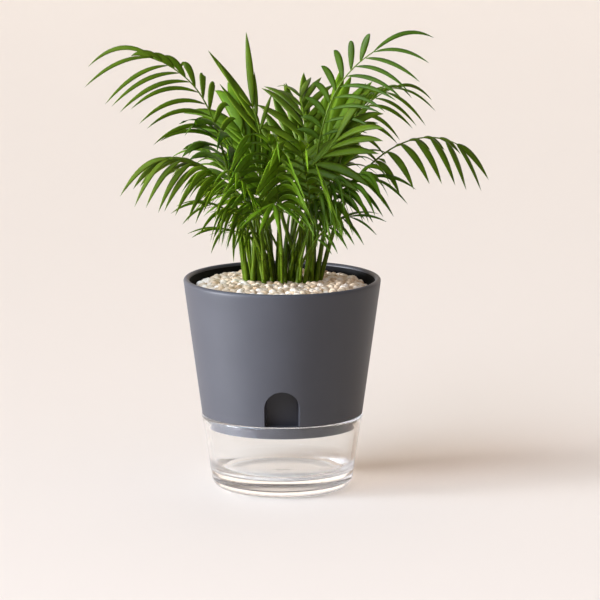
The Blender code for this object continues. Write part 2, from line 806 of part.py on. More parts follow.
def clear_rib(frond, mates, line, others):
    """The frond, turned about the axis if need be, and its rib clear of the others."""
    for more_straight, turn in RIB_TRIES:
        c, s = cos(radians(turn)), sin(radians(turn))
        x, y, z = frond.tip
        tip = (x * c - y * s, x * s + y * c, z)
        bent = replace(frond, tip=tip, straightness=frond.straightness + more_straight)
        curve = frond_curve(bent, mates, line)
        if not touches(rib_slab(curve, rib_shares(bent, curve), GUARD), others):
            return bent, curve
    return bent, curve


def build_canes(fronds, home, finish):
    """The canes, with a tree of each for overlap tests and each frond's mates and cane."""
    feet = cane_feet()
    cane_of = share_out(fronds, feet)
    trees, homes = [], {}
    for k, foot in enumerate(feet):
        mates = [frond for frond in fronds if cane_of[frond.name] == k]
        if not mates:
            continue
        line = cane_line(foot, mates)
        build_cane(f"cane_{k + 1:02d}", line, home, finish)
        sides = np.tile(np.eye(3)[:2, None], (1, len(line), 1))
        width = np.full(len(line), CANE_FOOT_RADIUS)
        tree = tree_of(slab(np.array(line), *sides, width, width))
        trees.append(tree)
        for frond in mates:
            homes[frond.name] = (mates, line, tree)
    return trees, homes


def build_plant(home):
    """The canes and fronds, each frond clear of all that was made before it."""
    stem = material("green_stem", (0.10, 0.20, 0.02), 0.45)
    leaf = material("green_leaf", (0.05, 0.16, 0.01), 0.42)
    fronds = crown_fronds()
    canes, homes = build_canes(fronds, home, stem)
    bent, curves, trees = [], {}, {}
    for frond in fronds:
        mates, line, own_cane = homes[frond.name]
        others = [tree for tree in canes if tree is not own_cane]
        others += [tree for made in trees.values() for tree in made]
        frond, curve = clear_rib(frond, mates, line, others)
        bent.append(frond)
        curves[frond.name] = curve
        trees[frond.name] = [tree_of(rib_slab(curve, rib_shares(frond, curve)))]
    for frond in bent:
        curve = curves[frond.name]
        stem_shares, _ = rib_stations(frond, curve)
        own = [tree_of(rib_slab(curve, stem_shares))]
        others = canes + [tree for name in trees if name != frond.name for tree in trees[name]]
        grown, solids = grow_leaflets(frond, curve, own, others)
        trees[frond.name] += solids
        if frond.split:
            thickened(frond.name + "_stem", stem_surface(curve, stem_shares), home, stem)
        thickened(frond.name, blade_surface(frond, curve, grown), home, leaf)


def main():
    """Builds the potted plant."""
    clear_scene()
    home = collection("potted_parlour_palm")
    cutters = collection("cutters")
    build_pot(home, cutters)
    build_pebble_bed(home)
    build_plant(home)


main()
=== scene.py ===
"""Looks of a parlour palm in a two-part self-watering pot.

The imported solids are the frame. Fine surfaces stand for the pot, the pebbles, the
canes and the fronds, and the leaflets grow along the same ribs as in the solids.
"""

from __future__ import annotations

import logging
import sys
from collections.abc import Iterator, Sequence
from dataclasses import dataclass
from enum import Enum
from math import cos, pi, radians, sin
from typing import Any, Protocol

import bpy
import numpy as np
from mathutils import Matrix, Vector
from numpy.typing import NDArray


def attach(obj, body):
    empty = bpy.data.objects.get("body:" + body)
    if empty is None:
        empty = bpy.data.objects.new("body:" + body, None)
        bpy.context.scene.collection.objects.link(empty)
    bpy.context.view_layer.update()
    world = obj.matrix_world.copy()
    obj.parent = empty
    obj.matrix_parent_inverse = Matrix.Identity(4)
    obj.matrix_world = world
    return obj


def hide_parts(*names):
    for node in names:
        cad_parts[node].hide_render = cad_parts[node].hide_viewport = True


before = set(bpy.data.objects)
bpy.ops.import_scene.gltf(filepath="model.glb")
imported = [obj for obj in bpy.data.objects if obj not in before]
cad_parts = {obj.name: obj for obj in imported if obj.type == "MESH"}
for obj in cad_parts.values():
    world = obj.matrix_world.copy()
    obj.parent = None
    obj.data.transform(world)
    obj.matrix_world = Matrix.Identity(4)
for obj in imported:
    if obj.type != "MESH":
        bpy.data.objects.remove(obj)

Array = NDArray[np.float64]
Indices = NDArray[np.int64]
Shape = tuple[Array, list[Indices]]
LOG = logging.getLogger("potted_palm")
UP: Array = np.array((0.0, 0.0, 1.0))
RIGHT: Array = np.array((1.0, 0.0, 0.0))
SEED = 7
GOLDEN_TURN = radians(137.507764)
LEAFLET_UV = "along_leaflet"


# Helpers for nodes and meshes


def per_metre(mm: float) -> float:
    """The scale at which a pattern repeats once in so many millimetres."""
    return 1000.0 / mm


def linear(code: str) -> tuple[float, float, float, float]:
    """Turns an sRGB hex colour to linear light.

    Args:
        code: The colour as "#rrggbb".

    Returns:
        Linear red, green, blue and an alpha of one.
    """
    share = np.array([int(code[i : i + 2], 16) for i in (1, 3, 5)]) / 255.0
    light = np.where(share <= 0.04045, share / 12.92, ((share + 0.055) / 1.055) ** 2.4)
    return (*map(float, light), 1.0)


def add(
    tree: bpy.types.NodeTree,
    kind: str,
    settings: dict[str, Any] | None = None,
    values: dict[str | int, Any] | None = None,
    links: dict[str | int, bpy.types.Node | bpy.types.NodeSocket] | None = None,
    stops: Sequence[tuple[float, str]] = (),
) -> bpy.types.Node:
    """Adds a node with its settings, its sockets' own values and its links.

    Args:
        tree: The node tree that gets the node.
        kind: The node's type name.
        settings: Attributes of the node.
        values: Input socket to its own value.
        links: Input socket to the output that feeds it, or to a node, whose first output does.
        stops: Both places of a colour ramp with their sRGB hex colours.

    Returns:
        The new node.
    """
    node = tree.nodes.new(kind)
    for name, value in (settings or {}).items():
        setattr(node, name, value)
    for name, value in (values or {}).items():
        node.inputs[name].default_value = value
    for name, source in (links or {}).items():
        feed = source.outputs[0] if isinstance(source, bpy.types.Node) else source
        tree.links.new(feed, node.inputs[name])
    for number, (position, code) in enumerate(stops):
        node.color_ramp.elements[number].position = position
        node.color_ramp.elements[number].color = linear(code)
    return node


def blank_material(
    name: str,
) -> tuple[bpy.types.Material, bpy.types.NodeTree, bpy.types.NodeSocket]:
    """A material that has only its coordinates.

    Args:
        name: The material's name.

    Returns:
        The material, its node tree and its Object coordinates.
    """
    made = bpy.data.materials.new(name)
    made.use_nodes = True
    made.node_tree.nodes.clear()
    return made, made.node_tree, add(made.node_tree, "ShaderNodeTexCoord").outputs["Object"]


def linked(name: str, data: bpy.types.ID) -> bpy.types.Object:
    """Puts data into a new object of the scene.

    Args:
        name: The object's name.
        data: A mesh, or what a light or a camera holds.

    Returns:
        The object, at the origin.
    """
    made = bpy.data.objects.new(name, data)
    bpy.context.scene.collection.objects.link(made)
    return made


def mesh_object(
    name: str,
    points: Array,
    faces: Sequence[Indices],
    finish: bpy.types.Material,
    uv: Array | None = None,
) -> bpy.types.Object:
    """Puts arrays of points and faces into a new smooth object.

    Args:
        name: The object's name.
        points: One row per vertex, in metres.
        faces: Arrays of corner indices, one array per number of corners.
        finish: The material.
        uv: One row per vertex for the piece's UV map, if it has one.

    Returns:
        The object, at the origin.
    """
    corners = np.concatenate([block.reshape(-1) for block in faces]).astype(np.int32)
    sizes = np.concatenate([np.full(len(block), block.shape[1]) for block in faces])
    starts = np.concatenate(((0,), np.cumsum(sizes)[:-1])).astype(np.int32)
    mesh = bpy.data.meshes.new(name)
    mesh.vertices.add(len(points))
    mesh.vertices.foreach_set("co", np.ascontiguousarray(points, np.float32).reshape(-1))
    mesh.loops.add(len(corners))
    mesh.loops.foreach_set("vertex_index", corners)
    mesh.polygons.add(len(sizes))
    mesh.polygons.foreach_set("loop_start", starts)
    mesh.polygons.foreach_set("use_smooth", np.ones(len(sizes), bool))
    if uv is not None:
        layer = mesh.uv_layers.new(name=LEAFLET_UV)
        layer.data.foreach_set("uv", uv[corners].astype(np.float32).reshape(-1))
    mesh.update(calc_edges=True)
    mesh.validate()
    mesh.materials.append(finish)
    return linked(name, mesh)


def turned_surface(profile: Array, sides: int) -> Shape:
    """A closed surface turned about Z.

    The point of ring i and side k is (r_i cos a_k, r_i sin a_k, z_i) with a_k the
    k-th even share of a turn. The profile starts and ends on the axis.

    Args:
        profile: Radii and heights, from the axis over the top and down outside to the axis.
        sides: Points in each ring.

    Returns:
        Points, and the quads and triangles.
    """
    turns = np.arange(sides) * 2 * pi / sides
    radii, heights = profile[1:-1, 0, None], profile[1:-1, 1, None]
    rings = np.stack(
        (radii * np.cos(turns), radii * np.sin(turns), heights + 0 * turns), axis=-1
    ).reshape(-1, 3)
    poles = np.array(((0.0, 0.0, profile[0, 1]), (0.0, 0.0, profile[-1, 1])))
    quads = grid_faces(len(profile) - 2, sides)
    side = np.arange(sides)
    after = (side + 1) % sides
    top, bottom = len(rings), len(rings) + 1
    last = len(rings) - sides
    fans = np.concatenate(
        (
            np.stack((np.full(sides, top), side, after), axis=1),
            np.stack((np.full(sides, bottom), last + after, last + side), axis=1),
        )
    )
    return np.concatenate((rings, poles)), [quads, fans]


def grid_faces(rows: int, around: int) -> Indices:
    """Quads of a grid of rings that close on themselves.

    Args:
        rows: The number of rings.
        around: Points in each ring.

    Returns:
        One row of four indices per quad.
    """
    ring, side = np.meshgrid(np.arange(rows - 1), np.arange(around), indexing="ij")
    after = (side + 1) % around
    first, second = ring * around, (ring + 1) * around
    return np.stack((first + side, second + side, second + after, first + after), axis=-1).reshape(-1, 4)


def tube(path: Array, radii: Array, side: Array, around: int) -> Shape:
    """A round closed tube along a path.

    Ring i is path_i + radius_i (cos a side_i + sin a over_i), where over_i is at
    right angles to side_i and to the path.

    Args:
        path: Points of the middle line.
        radii: The radius at each point.
        side: A direction that is never along the path.
        around: Points in each ring.

    Returns:
        Points, and the quads and the two end faces.
    """
    ahead = np.gradient(path, axis=0)
    ahead /= np.linalg.norm(ahead, axis=1, keepdims=True)
    across = side - ahead * (ahead @ side)[:, None]
    across /= np.linalg.norm(across, axis=1, keepdims=True)
    over = np.cross(across, ahead)
    turns = np.arange(around) * 2 * pi / around
    rings = path[:, None] + radii[:, None, None] * (
        across[:, None] * np.cos(turns)[:, None] + over[:, None] * np.sin(turns)[:, None]
    )
    ends = np.arange(around)
    last = (len(path) - 1) * around
    return rings.reshape(-1, 3), [
        grid_faces(len(path), around),
        np.stack((ends, last + ends[::-1])),
    ]


def joined(parts: Sequence[Shape]) -> Shape:
    """Many pieces' points and faces as one.

    Args:
        parts: Points and face arrays of each piece.

    Returns:
        All points, and all face arrays with their indices moved on.
    """
    starts = np.cumsum([0] + [len(points) for points, _ in parts])
    faces = [block + start for (_, blocks), start in zip(parts, starts) for block in blocks]
    return np.concatenate([points for points, _ in parts]), faces


def repeated(faces: Sequence[Indices], copies: int, points: int) -> list[Indices]:
    """The faces of many equal pieces whose points follow one another.

    Args:
        faces: Face arrays of the first piece.
        copies: The number of pieces.
        points: The number of points in each.

    Returns:
        All faces, one array per number of corners.
    """
    steps = (np.arange(copies) * points)[:, None, None]
    return [(block[None] + steps).reshape(-1, block.shape[1]) for block in faces]


def cubic(start: Array, near: Array, far: Array, end: Array, count: int) -> Array:
    """Points (1 - t)^3 start + 3 (1 - t)^2 t near + 3 (1 - t) t^2 far + t^3 end.

    Args:
        start: Where the curve starts.
        near: The point toward which it leaves its start.
        far: The point from which it comes to its end.
        end: Where it ends.
        count: The number of points, at even steps of t from 0 to 1.

    Returns:
        One row per point.
    """
    t = np.linspace(0.0, 1.0, count)[:, None]
    return (1 - t) ** 3 * start + 3 * (1 - t) ** 2 * t * near + 3 * (1 - t) * t**2 * far + t**3 * end


def arc(middle: tuple[float, float], radius: float, first: float, last: float, steps: int) -> Array:
    """Points of an arc in the (r, z) plane.

    Args:
        middle: The arc's centre.
        radius: Its radius.
        first: The first angle in degrees.
        last: The last angle in degrees.
        steps: The number of steps between them.

    Returns:
        One (r, z) row per point.
    """
    turns = np.radians(np.linspace(first, last, steps + 1))
    return np.stack((middle[0] + radius * np.cos(turns), middle[1] + radius * np.sin(turns)), axis=1)


def straight(start: tuple[float, float], end: tuple[float, float], steps: int) -> Array:
    """Evenly spaced points from one (r, z) to another, both included."""
    return np.linspace(start, end, steps + 1)


def unit(vector: Array) -> Array:
    """The same directions at length one, along the last axis."""
    return vector / np.linalg.norm(vector, axis=-1, keepdims=True)


# Finishes


@dataclass(frozen=True)
class ClearGlass:
    """Pressed soda-lime glass: clear, polished, a trace of grey in its thick foot.

    Lamps shine through it. Less of their light gets past where it grazes the wall,
    so the table darkens a little beside the foot, as it does beside a real tumbler.
    The ring that it stands on is stippled, and clears between two heights in metres.
    """

    name: str = "pressed_soda_lime_glass"
    tint: str = "#feffff"
    ior: float = 1.50
    wave_mm: float = 26.0
    stipple: float = 0.35
    stipple_low: float = 0.0009
    stipple_high: float = 0.0018
    passed: str = "#fafafa"
    grazed: str = "#787878"

    def material(self) -> bpy.types.Material:
        """Glass with faint mould waves, passed by lamps.

        Returns:
            The material.
        """
        made, tree, place = blank_material(self.name)
        waves = add(
            tree, "ShaderNodeTexNoise",
            values={"Scale": per_metre(self.wave_mm), "Detail": 1.0}, links={"Vector": place},
        )
        bump = add(
            tree, "ShaderNodeBump", values={"Strength": 0.05, "Distance": 0.0006}, links={"Height": waves}
        )
        height = add(tree, "ShaderNodeSeparateXYZ", links={"Vector": place}).outputs["Z"]
        stipple = add(
            tree, "ShaderNodeMapRange",
            values={
                "From Min": self.stipple_low, "From Max": self.stipple_high,
                "To Min": self.stipple, "To Max": 0.0,
            },
            links={"Value": height},
        )
        glass = add(
            tree, "ShaderNodeBsdfPrincipled",
            values={"Base Color": linear(self.tint), "IOR": self.ior, "Transmission Weight": 1.0},
            links={"Normal": bump, "Roughness": stipple},
        )
        facing = add(tree, "ShaderNodeLayerWeight", values={"Blend": 0.5}).outputs["Facing"]
        let_by = add(
            tree, "ShaderNodeValToRGB",
            links={"Fac": facing}, stops=((0.3, self.passed), (0.9, self.grazed)),
        )
        clear = add(tree, "ShaderNodeBsdfTransparent", links={"Color": let_by})
        lamp = add(tree, "ShaderNodeLightPath").outputs["Is Shadow Ray"]
        mix = add(tree, "ShaderNodeMixShader", links={0: lamp, 1: glass, 2: clear})
        add(tree, "ShaderNodeOutputMaterial", links={"Surface": mix})
        return made


@dataclass(frozen=True)
class MouldedPlastic:
    """Injection-moulded polypropylene with a fine spark-eroded grain and a satin sheen.

    Inside, from above its notch to below its lip, it is painted near black and matt: painted shade, in place
    of the shade that falls within the pot.
    """

    name: str = "moulded_grey_polypropylene"
    colour: str = "#414247"
    paler: str = "#44454a"
    # Painted shade: the inner wall's near-black colour, and its added mattness below, stand in for the shade
    # inside the pot
    inside: str = "#0e0f10"
    grain_mm: float = 0.55
    cloud_mm: float = 35.0
    roughness: float = 0.46
    inside_matt: float = 0.45

    def inner_shade_mask(self, tree: bpy.types.NodeTree, place: bpy.types.NodeSocket) -> bpy.types.Node:
        """One on the planter's inner face, from above its notch to its lip, where shade is painted.

        A point is inside where its distance from the axis is less than the radius of
        the middle of the wall at its height.

        Args:
            tree: The node tree.
            place: Object coordinates.

        Returns:
            The node that gives the mask, zero or one.
        """
        pot = PotSizes()
        slope = (pot.rim_radius - pot.joint_radius) / (pot.rim_height - pot.joint_height)
        level = add(
            tree, "ShaderNodeVectorMath", {"operation": "MULTIPLY"}, {1: (1.0, 1.0, 0.0)}, {0: place}
        )
        radius = add(tree, "ShaderNodeVectorMath", {"operation": "LENGTH"}, links={0: level})
        height = add(tree, "ShaderNodeSeparateXYZ", links={"Vector": place}).outputs["Z"]
        middle = add(
            tree, "ShaderNodeMath", {"operation": "MULTIPLY_ADD"},
            {1: slope, 2: pot.joint_radius - slope * pot.joint_height - pot.rim_lip / 2}, {0: height},
        )
        mask = add(
            tree, "ShaderNodeMath", {"operation": "LESS_THAN"},
            links={0: radius.outputs["Value"], 1: middle},
        )
        limits = (("GREATER_THAN", pot.notch_clear), ("LESS_THAN", pot.rim_height - pot.rim_lip / 2))
        for operation, limit in limits:
            test = add(tree, "ShaderNodeMath", {"operation": operation}, {1: limit}, {0: height})
            mask = add(tree, "ShaderNodeMath", {"operation": "MULTIPLY"}, links={0: mask, 1: test})
        return mask

    def material(self) -> bpy.types.Material:
        """Grey plastic. The grain is drawn coarser than real, so that it shows.

        Returns:
            The material.
        """
        made, tree, place = blank_material(self.name)
        cloud = add(
            tree, "ShaderNodeTexNoise",
            values={"Scale": per_metre(self.cloud_mm), "Detail": 3.0}, links={"Vector": place},
        )
        grain = add(
            tree, "ShaderNodeTexNoise",
            values={"Scale": per_metre(self.grain_mm), "Detail": 2.0, "Roughness": 0.6},
            links={"Vector": place},
        )
        bump = add(
            tree, "ShaderNodeBump", values={"Strength": 0.18, "Distance": 0.00008}, links={"Height": grain}
        )
        dull = add(
            tree, "ShaderNodeMapRange",
            values={"To Min": self.roughness - 0.05, "To Max": self.roughness + 0.07},
            links={"Value": cloud},
        )
        grey = add(
            tree, "ShaderNodeValToRGB",
            links={"Fac": cloud}, stops=((0.35, self.colour), (0.7, self.paler)),
        )
        # Painted shade: the inner wall is darkened to near black and made matt, where shade falls inside the
        # pot
        inner_shade = self.inner_shade_mask(tree, place)
        matt = add(
            tree, "ShaderNodeMath", {"operation": "MULTIPLY_ADD"}, {1: self.inside_matt}, {0: inner_shade, 2: dull}
        )
        shaded_grey = add(
            tree, "ShaderNodeMix", {"data_type": "RGBA"}, {7: linear(self.inside)}, {0: inner_shade, 6: grey}
        )
        plastic = add(
            tree, "ShaderNodeBsdfPrincipled",
            values={"IOR": 1.49, "Specular IOR Level": 0.32},
            links={"Base Color": shaded_grey.outputs[2], "Roughness": matt, "Normal": bump},
        )
        add(tree, "ShaderNodeOutputMaterial", links={"Surface": plastic})
        return made


@dataclass(frozen=True)
class PottingMix:
    """Peat and bark: dark, matt and crumbly."""

    name: str = "peat_potting_mix"
    dark: str = "#1b130d"
    pale: str = "#4a3626"
    crumb_mm: float = 2.0
    fibre_mm: float = 3.5

    def material(self) -> bpy.types.Material:
        """Dark crumbs in relief.

        Returns:
            The material.
        """
        made, tree, place = blank_material(self.name)
        crumbs = add(
            tree, "ShaderNodeTexVoronoi", values={"Scale": per_metre(self.crumb_mm)}, links={"Vector": place}
        )
        fibre = add(
            tree, "ShaderNodeTexNoise",
            values={"Scale": per_metre(self.fibre_mm), "Detail": 6.0}, links={"Vector": place},
        )
        brown = add(
            tree, "ShaderNodeValToRGB",
            links={"Fac": fibre}, stops=((0.35, self.dark), (0.75, self.pale)),
        )
        bump = add(
            tree, "ShaderNodeBump", values={"Strength": 0.8, "Distance": 0.0008}, links={"Height": crumbs}
        )
        soil = add(
            tree, "ShaderNodeBsdfPrincipled",
            values={"Roughness": 0.95}, links={"Base Color": brown, "Normal": bump},
        )
        add(tree, "ShaderNodeOutputMaterial", links={"Surface": soil})
        return made


@dataclass(frozen=True)
class PebbleStone:
    """Tumbled limestone pebbles: chalky and matt, with faint veins and pits."""

    name: str
    pale: str
    dark: str
    mottle_mm: float = 4.0
    pit_mm: float = 0.6

    def material(self) -> bpy.types.Material:
        """Mottled stone with fine pits.

        Returns:
            The material.
        """
        made, tree, place = blank_material(self.name)
        mottle = add(
            tree, "ShaderNodeTexNoise",
            values={"Scale": per_metre(self.mottle_mm), "Detail": 4.0, "Roughness": 0.6},
            links={"Vector": place},
        )
        pits = add(
            tree, "ShaderNodeTexNoise",
            values={"Scale": per_metre(self.pit_mm), "Detail": 2.0}, links={"Vector": place},
        )
        chalk = add(
            tree, "ShaderNodeValToRGB",
            links={"Fac": mottle}, stops=((0.30, self.dark), (0.62, self.pale)),
        )
        bump = add(
            tree, "ShaderNodeBump", values={"Strength": 0.35, "Distance": 0.0002}, links={"Height": pits}
        )
        stone = add(
            tree, "ShaderNodeBsdfPrincipled",
            values={"Roughness": 0.78, "IOR": 1.5}, links={"Base Color": chalk, "Normal": bump},
        )
        add(tree, "ShaderNodeOutputMaterial", links={"Surface": stone})
        return made


@dataclass(frozen=True)
class GreenCane:
    """Young palm cane and leaf stalk: smooth, waxy, streaked paler along its length."""

    name: str
    dark: str
    pale: str
    streak_mm: float = 1.0
    streak_length_mm: float = 12.0

    def material(self) -> bpy.types.Material:
        """Green with thin streaks that run up the cane.

        Returns:
            The material.
        """
        made, tree, place = blank_material(self.name)
        drawn = add(
            tree, "ShaderNodeMapping",
            values={"Scale": (1.0, 1.0, self.streak_mm / self.streak_length_mm)}, links={"Vector": place},
        )
        streaks = add(
            tree, "ShaderNodeTexNoise",
            values={"Scale": per_metre(self.streak_mm), "Detail": 3.0}, links={"Vector": drawn},
        )
        green = add(
            tree, "ShaderNodeValToRGB",
            links={"Fac": streaks}, stops=((0.3, self.dark), (0.7, self.pale)),
        )
        bump = add(
            tree, "ShaderNodeBump", values={"Strength": 0.25, "Distance": 0.0001}, links={"Height": streaks}
        )
        cane = add(
            tree, "ShaderNodeBsdfPrincipled",
            values={
                "Roughness": 0.44, "IOR": 1.45, "Specular IOR Level": 0.2, "Subsurface Weight": 0.12,
                "Subsurface Scale": 0.001, "Subsurface Radius": (0.45, 1.0, 0.15),
            },
            links={"Base Color": green, "Normal": bump},
        )
        add(tree, "ShaderNodeOutputMaterial", links={"Surface": cane})
        return made


class LeafTone(Enum):
    """Tones of leaf, each dealt out to whole fronds: a dark and a pale that differ little."""

    DEEP = ("#2c4203", "#374f05")
    MID = ("#3b4e05", "#485d08")
    FRESH = ("#405b06", "#4d6a09")
    BRIGHT = ("#476106", "#55710a")
    # Painted sheen: a greyer green that stands for the sheen of light on a frond
    SILVERED = ("#42530c", "#4f6112")


@dataclass(frozen=True)
class LeafBlade:
    """Living palm leaflet: satin cuticle over fine parallel veins, light passes a little."""

    tone: LeafTone
    veins: int = 9
    cloud_mm: float = 14.0

    def material(self) -> bpy.types.Material:
        """Plain base colours by frond, with veins in relief along each leaflet.

        Returns:
            The material.
        """
        dark, pale = self.tone.value
        made, tree, place = blank_material(f"palm_leaflet_{self.tone.name.lower()}")
        blade = add(tree, "ShaderNodeUVMap", settings={"uv_map": LEAFLET_UV})
        cloud = add(
            tree, "ShaderNodeTexNoise",
            values={"Scale": per_metre(self.cloud_mm), "Detail": 3.0}, links={"Vector": place},
        )
        veins = add(
            tree, "ShaderNodeTexWave",
            settings={"wave_type": "BANDS", "bands_direction": "X"},
            values={"Scale": self.veins / 2.0, "Distortion": 0.3, "Detail": 1.0}, links={"Vector": blade},
        )
        green = add(
            tree, "ShaderNodeValToRGB", links={"Fac": cloud}, stops=((0.32, dark), (0.68, pale))
        )
        bump = add(
            tree, "ShaderNodeBump",
            values={"Strength": 0.22, "Distance": 0.00018}, links={"Height": veins.outputs["Fac"]},
        )
        dull = add(
            tree, "ShaderNodeMapRange", values={"To Min": 0.42, "To Max": 0.58}, links={"Value": cloud}
        )
        leaf = add(
            tree, "ShaderNodeBsdfPrincipled",
            values={
                "IOR": 1.45, "Specular IOR Level": 0.15, "Subsurface Weight": 0.15,
                "Subsurface Scale": 0.0012, "Subsurface Radius": (0.6, 1.0, 0.15),
            },
            links={"Base Color": green, "Roughness": dull, "Normal": bump},
        )
        add(tree, "ShaderNodeOutputMaterial", links={"Surface": leaf})
        return made


@dataclass(frozen=True)
class StudioPaper:
    """A seamless sweep of pale warm paper."""

    name: str = "seamless_paper"
    colour: str = "#ebdfd0"
    tooth_mm: float = 3.0

    def material(self) -> bpy.types.Material:
        """Matt paper with a faint tooth.

        Returns:
            The material.
        """
        made, tree, place = blank_material(self.name)
        tooth = add(
            tree, "ShaderNodeTexNoise",
            values={"Scale": per_metre(self.tooth_mm), "Detail": 2.0}, links={"Vector": place},
        )
        bump = add(
            tree, "ShaderNodeBump", values={"Strength": 0.04, "Distance": 0.0002}, links={"Height": tooth}
        )
        paper = add(
            tree, "ShaderNodeBsdfPrincipled",
            values={"Base Color": linear(self.colour), "Roughness": 0.9, "Specular IOR Level": 0.1},
            links={"Normal": bump},
        )
        add(tree, "ShaderNodeOutputMaterial", links={"Surface": paper})
        return made


# Pot


@dataclass
class PotSizes:
    """Sizes that the reservoir, the planter and the pebbles share, in metres."""

    rim_radius: float = 0.0750
    rim_height: float = 0.1605
    rim_lip: float = 0.0044
    joint_radius: float = 0.0609
    joint_height: float = 0.0570
    planter_wall: float = 0.0034
    glass_wall: float = 0.0036
    clearance: float = 0.0003
    foot_radius: float = 0.0538
    foot_round: float = 0.0085
    notch_clear: float = 0.0950

    def planter_radius(self, z: float | Array) -> float | Array:
        """Outer radius of the planter at a height."""
        share = (z - self.joint_height) / (self.rim_height - self.joint_height)
        return self.joint_radius + share * (self.rim_radius - self.joint_radius)

    def glass_radius(self, z: float) -> float:
        """Outer radius of the glass above its rounded foot."""
        share = (z - self.foot_round) / (self.joint_height - self.foot_round)
        return self.foot_radius + share * (self.joint_radius - self.foot_radius)

    def collar_radius(self, z: float) -> float:
        """Outer radius of the planter's collar, just clear of the glass."""
        return self.glass_radius(z) - self.glass_wall - 2 * self.clearance


@dataclass
class Reservoir:
    """The clear glass foot that holds the water. The shoulder is in half walls below its top."""

    pot: PotSizes
    floor: float = 0.0130
    inner_round: float = 0.0110
    dome: float = 0.0010
    punt: float = 0.0006
    punt_radius: float = 0.0400
    bead: float = 0.0015
    bead_sunk: float = 0.0002
    lip_proud: float = 0.0007
    shoulder: float = 2.2
    sides: int = 192

    def profile(self) -> Array:
        """From the inner floor over the fire-polished lip and down outside to the punt.

        Returns:
            One (r, z) row per point.
        """
        pot = self.pot
        top = pot.joint_height - pot.clearance
        lip = pot.glass_wall / 2
        corner = pot.glass_radius(self.floor + self.inner_round) - pot.glass_wall
        middle = pot.glass_radius(top - lip) - lip
        inner_top = pot.glass_radius(top - lip) - pot.glass_wall
        swell = middle + lip + self.lip_proud
        shoulder = (middle + lip, top - self.shoulder * lip)
        return np.concatenate(
            (
                straight((0.0, self.floor + self.dome), (corner - self.inner_round, self.floor), 6)[:-1],
                arc((corner - self.inner_round, self.floor + self.inner_round), self.inner_round, -90, 0, 8),
                straight((corner, self.floor + self.inner_round), (inner_top, top - lip), 10)[1:-1],
                arc((middle, top - lip), lip, 180, 70, 8),
                arc((swell - self.bead, top - self.bead - self.bead_sunk), self.bead, 60, -60, 10),
                straight(shoulder, (pot.foot_radius, pot.foot_round), 14)[:-1],
                arc((pot.foot_radius - pot.foot_round, pot.foot_round), pot.foot_round, 0, -90, 12),
                straight((self.punt_radius, self.punt / 2), (0.0, self.punt), 6),
            )
        )

    def build(self) -> list[bpy.types.Object]:
        """Turns and dresses the glass.

        Returns:
            The glass.
        """
        points, faces = turned_surface(self.profile(), self.sides)
        piece = mesh_object("reservoir_glass", points, faces, ClearGlass().material())
        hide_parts("glass_reservoir")
        return [piece]


class Carving(Enum):
    """What a helper does to the shell."""

    CUT = "DIFFERENCE"
    JOIN = "UNION"
    COMMON = "INTERSECT"


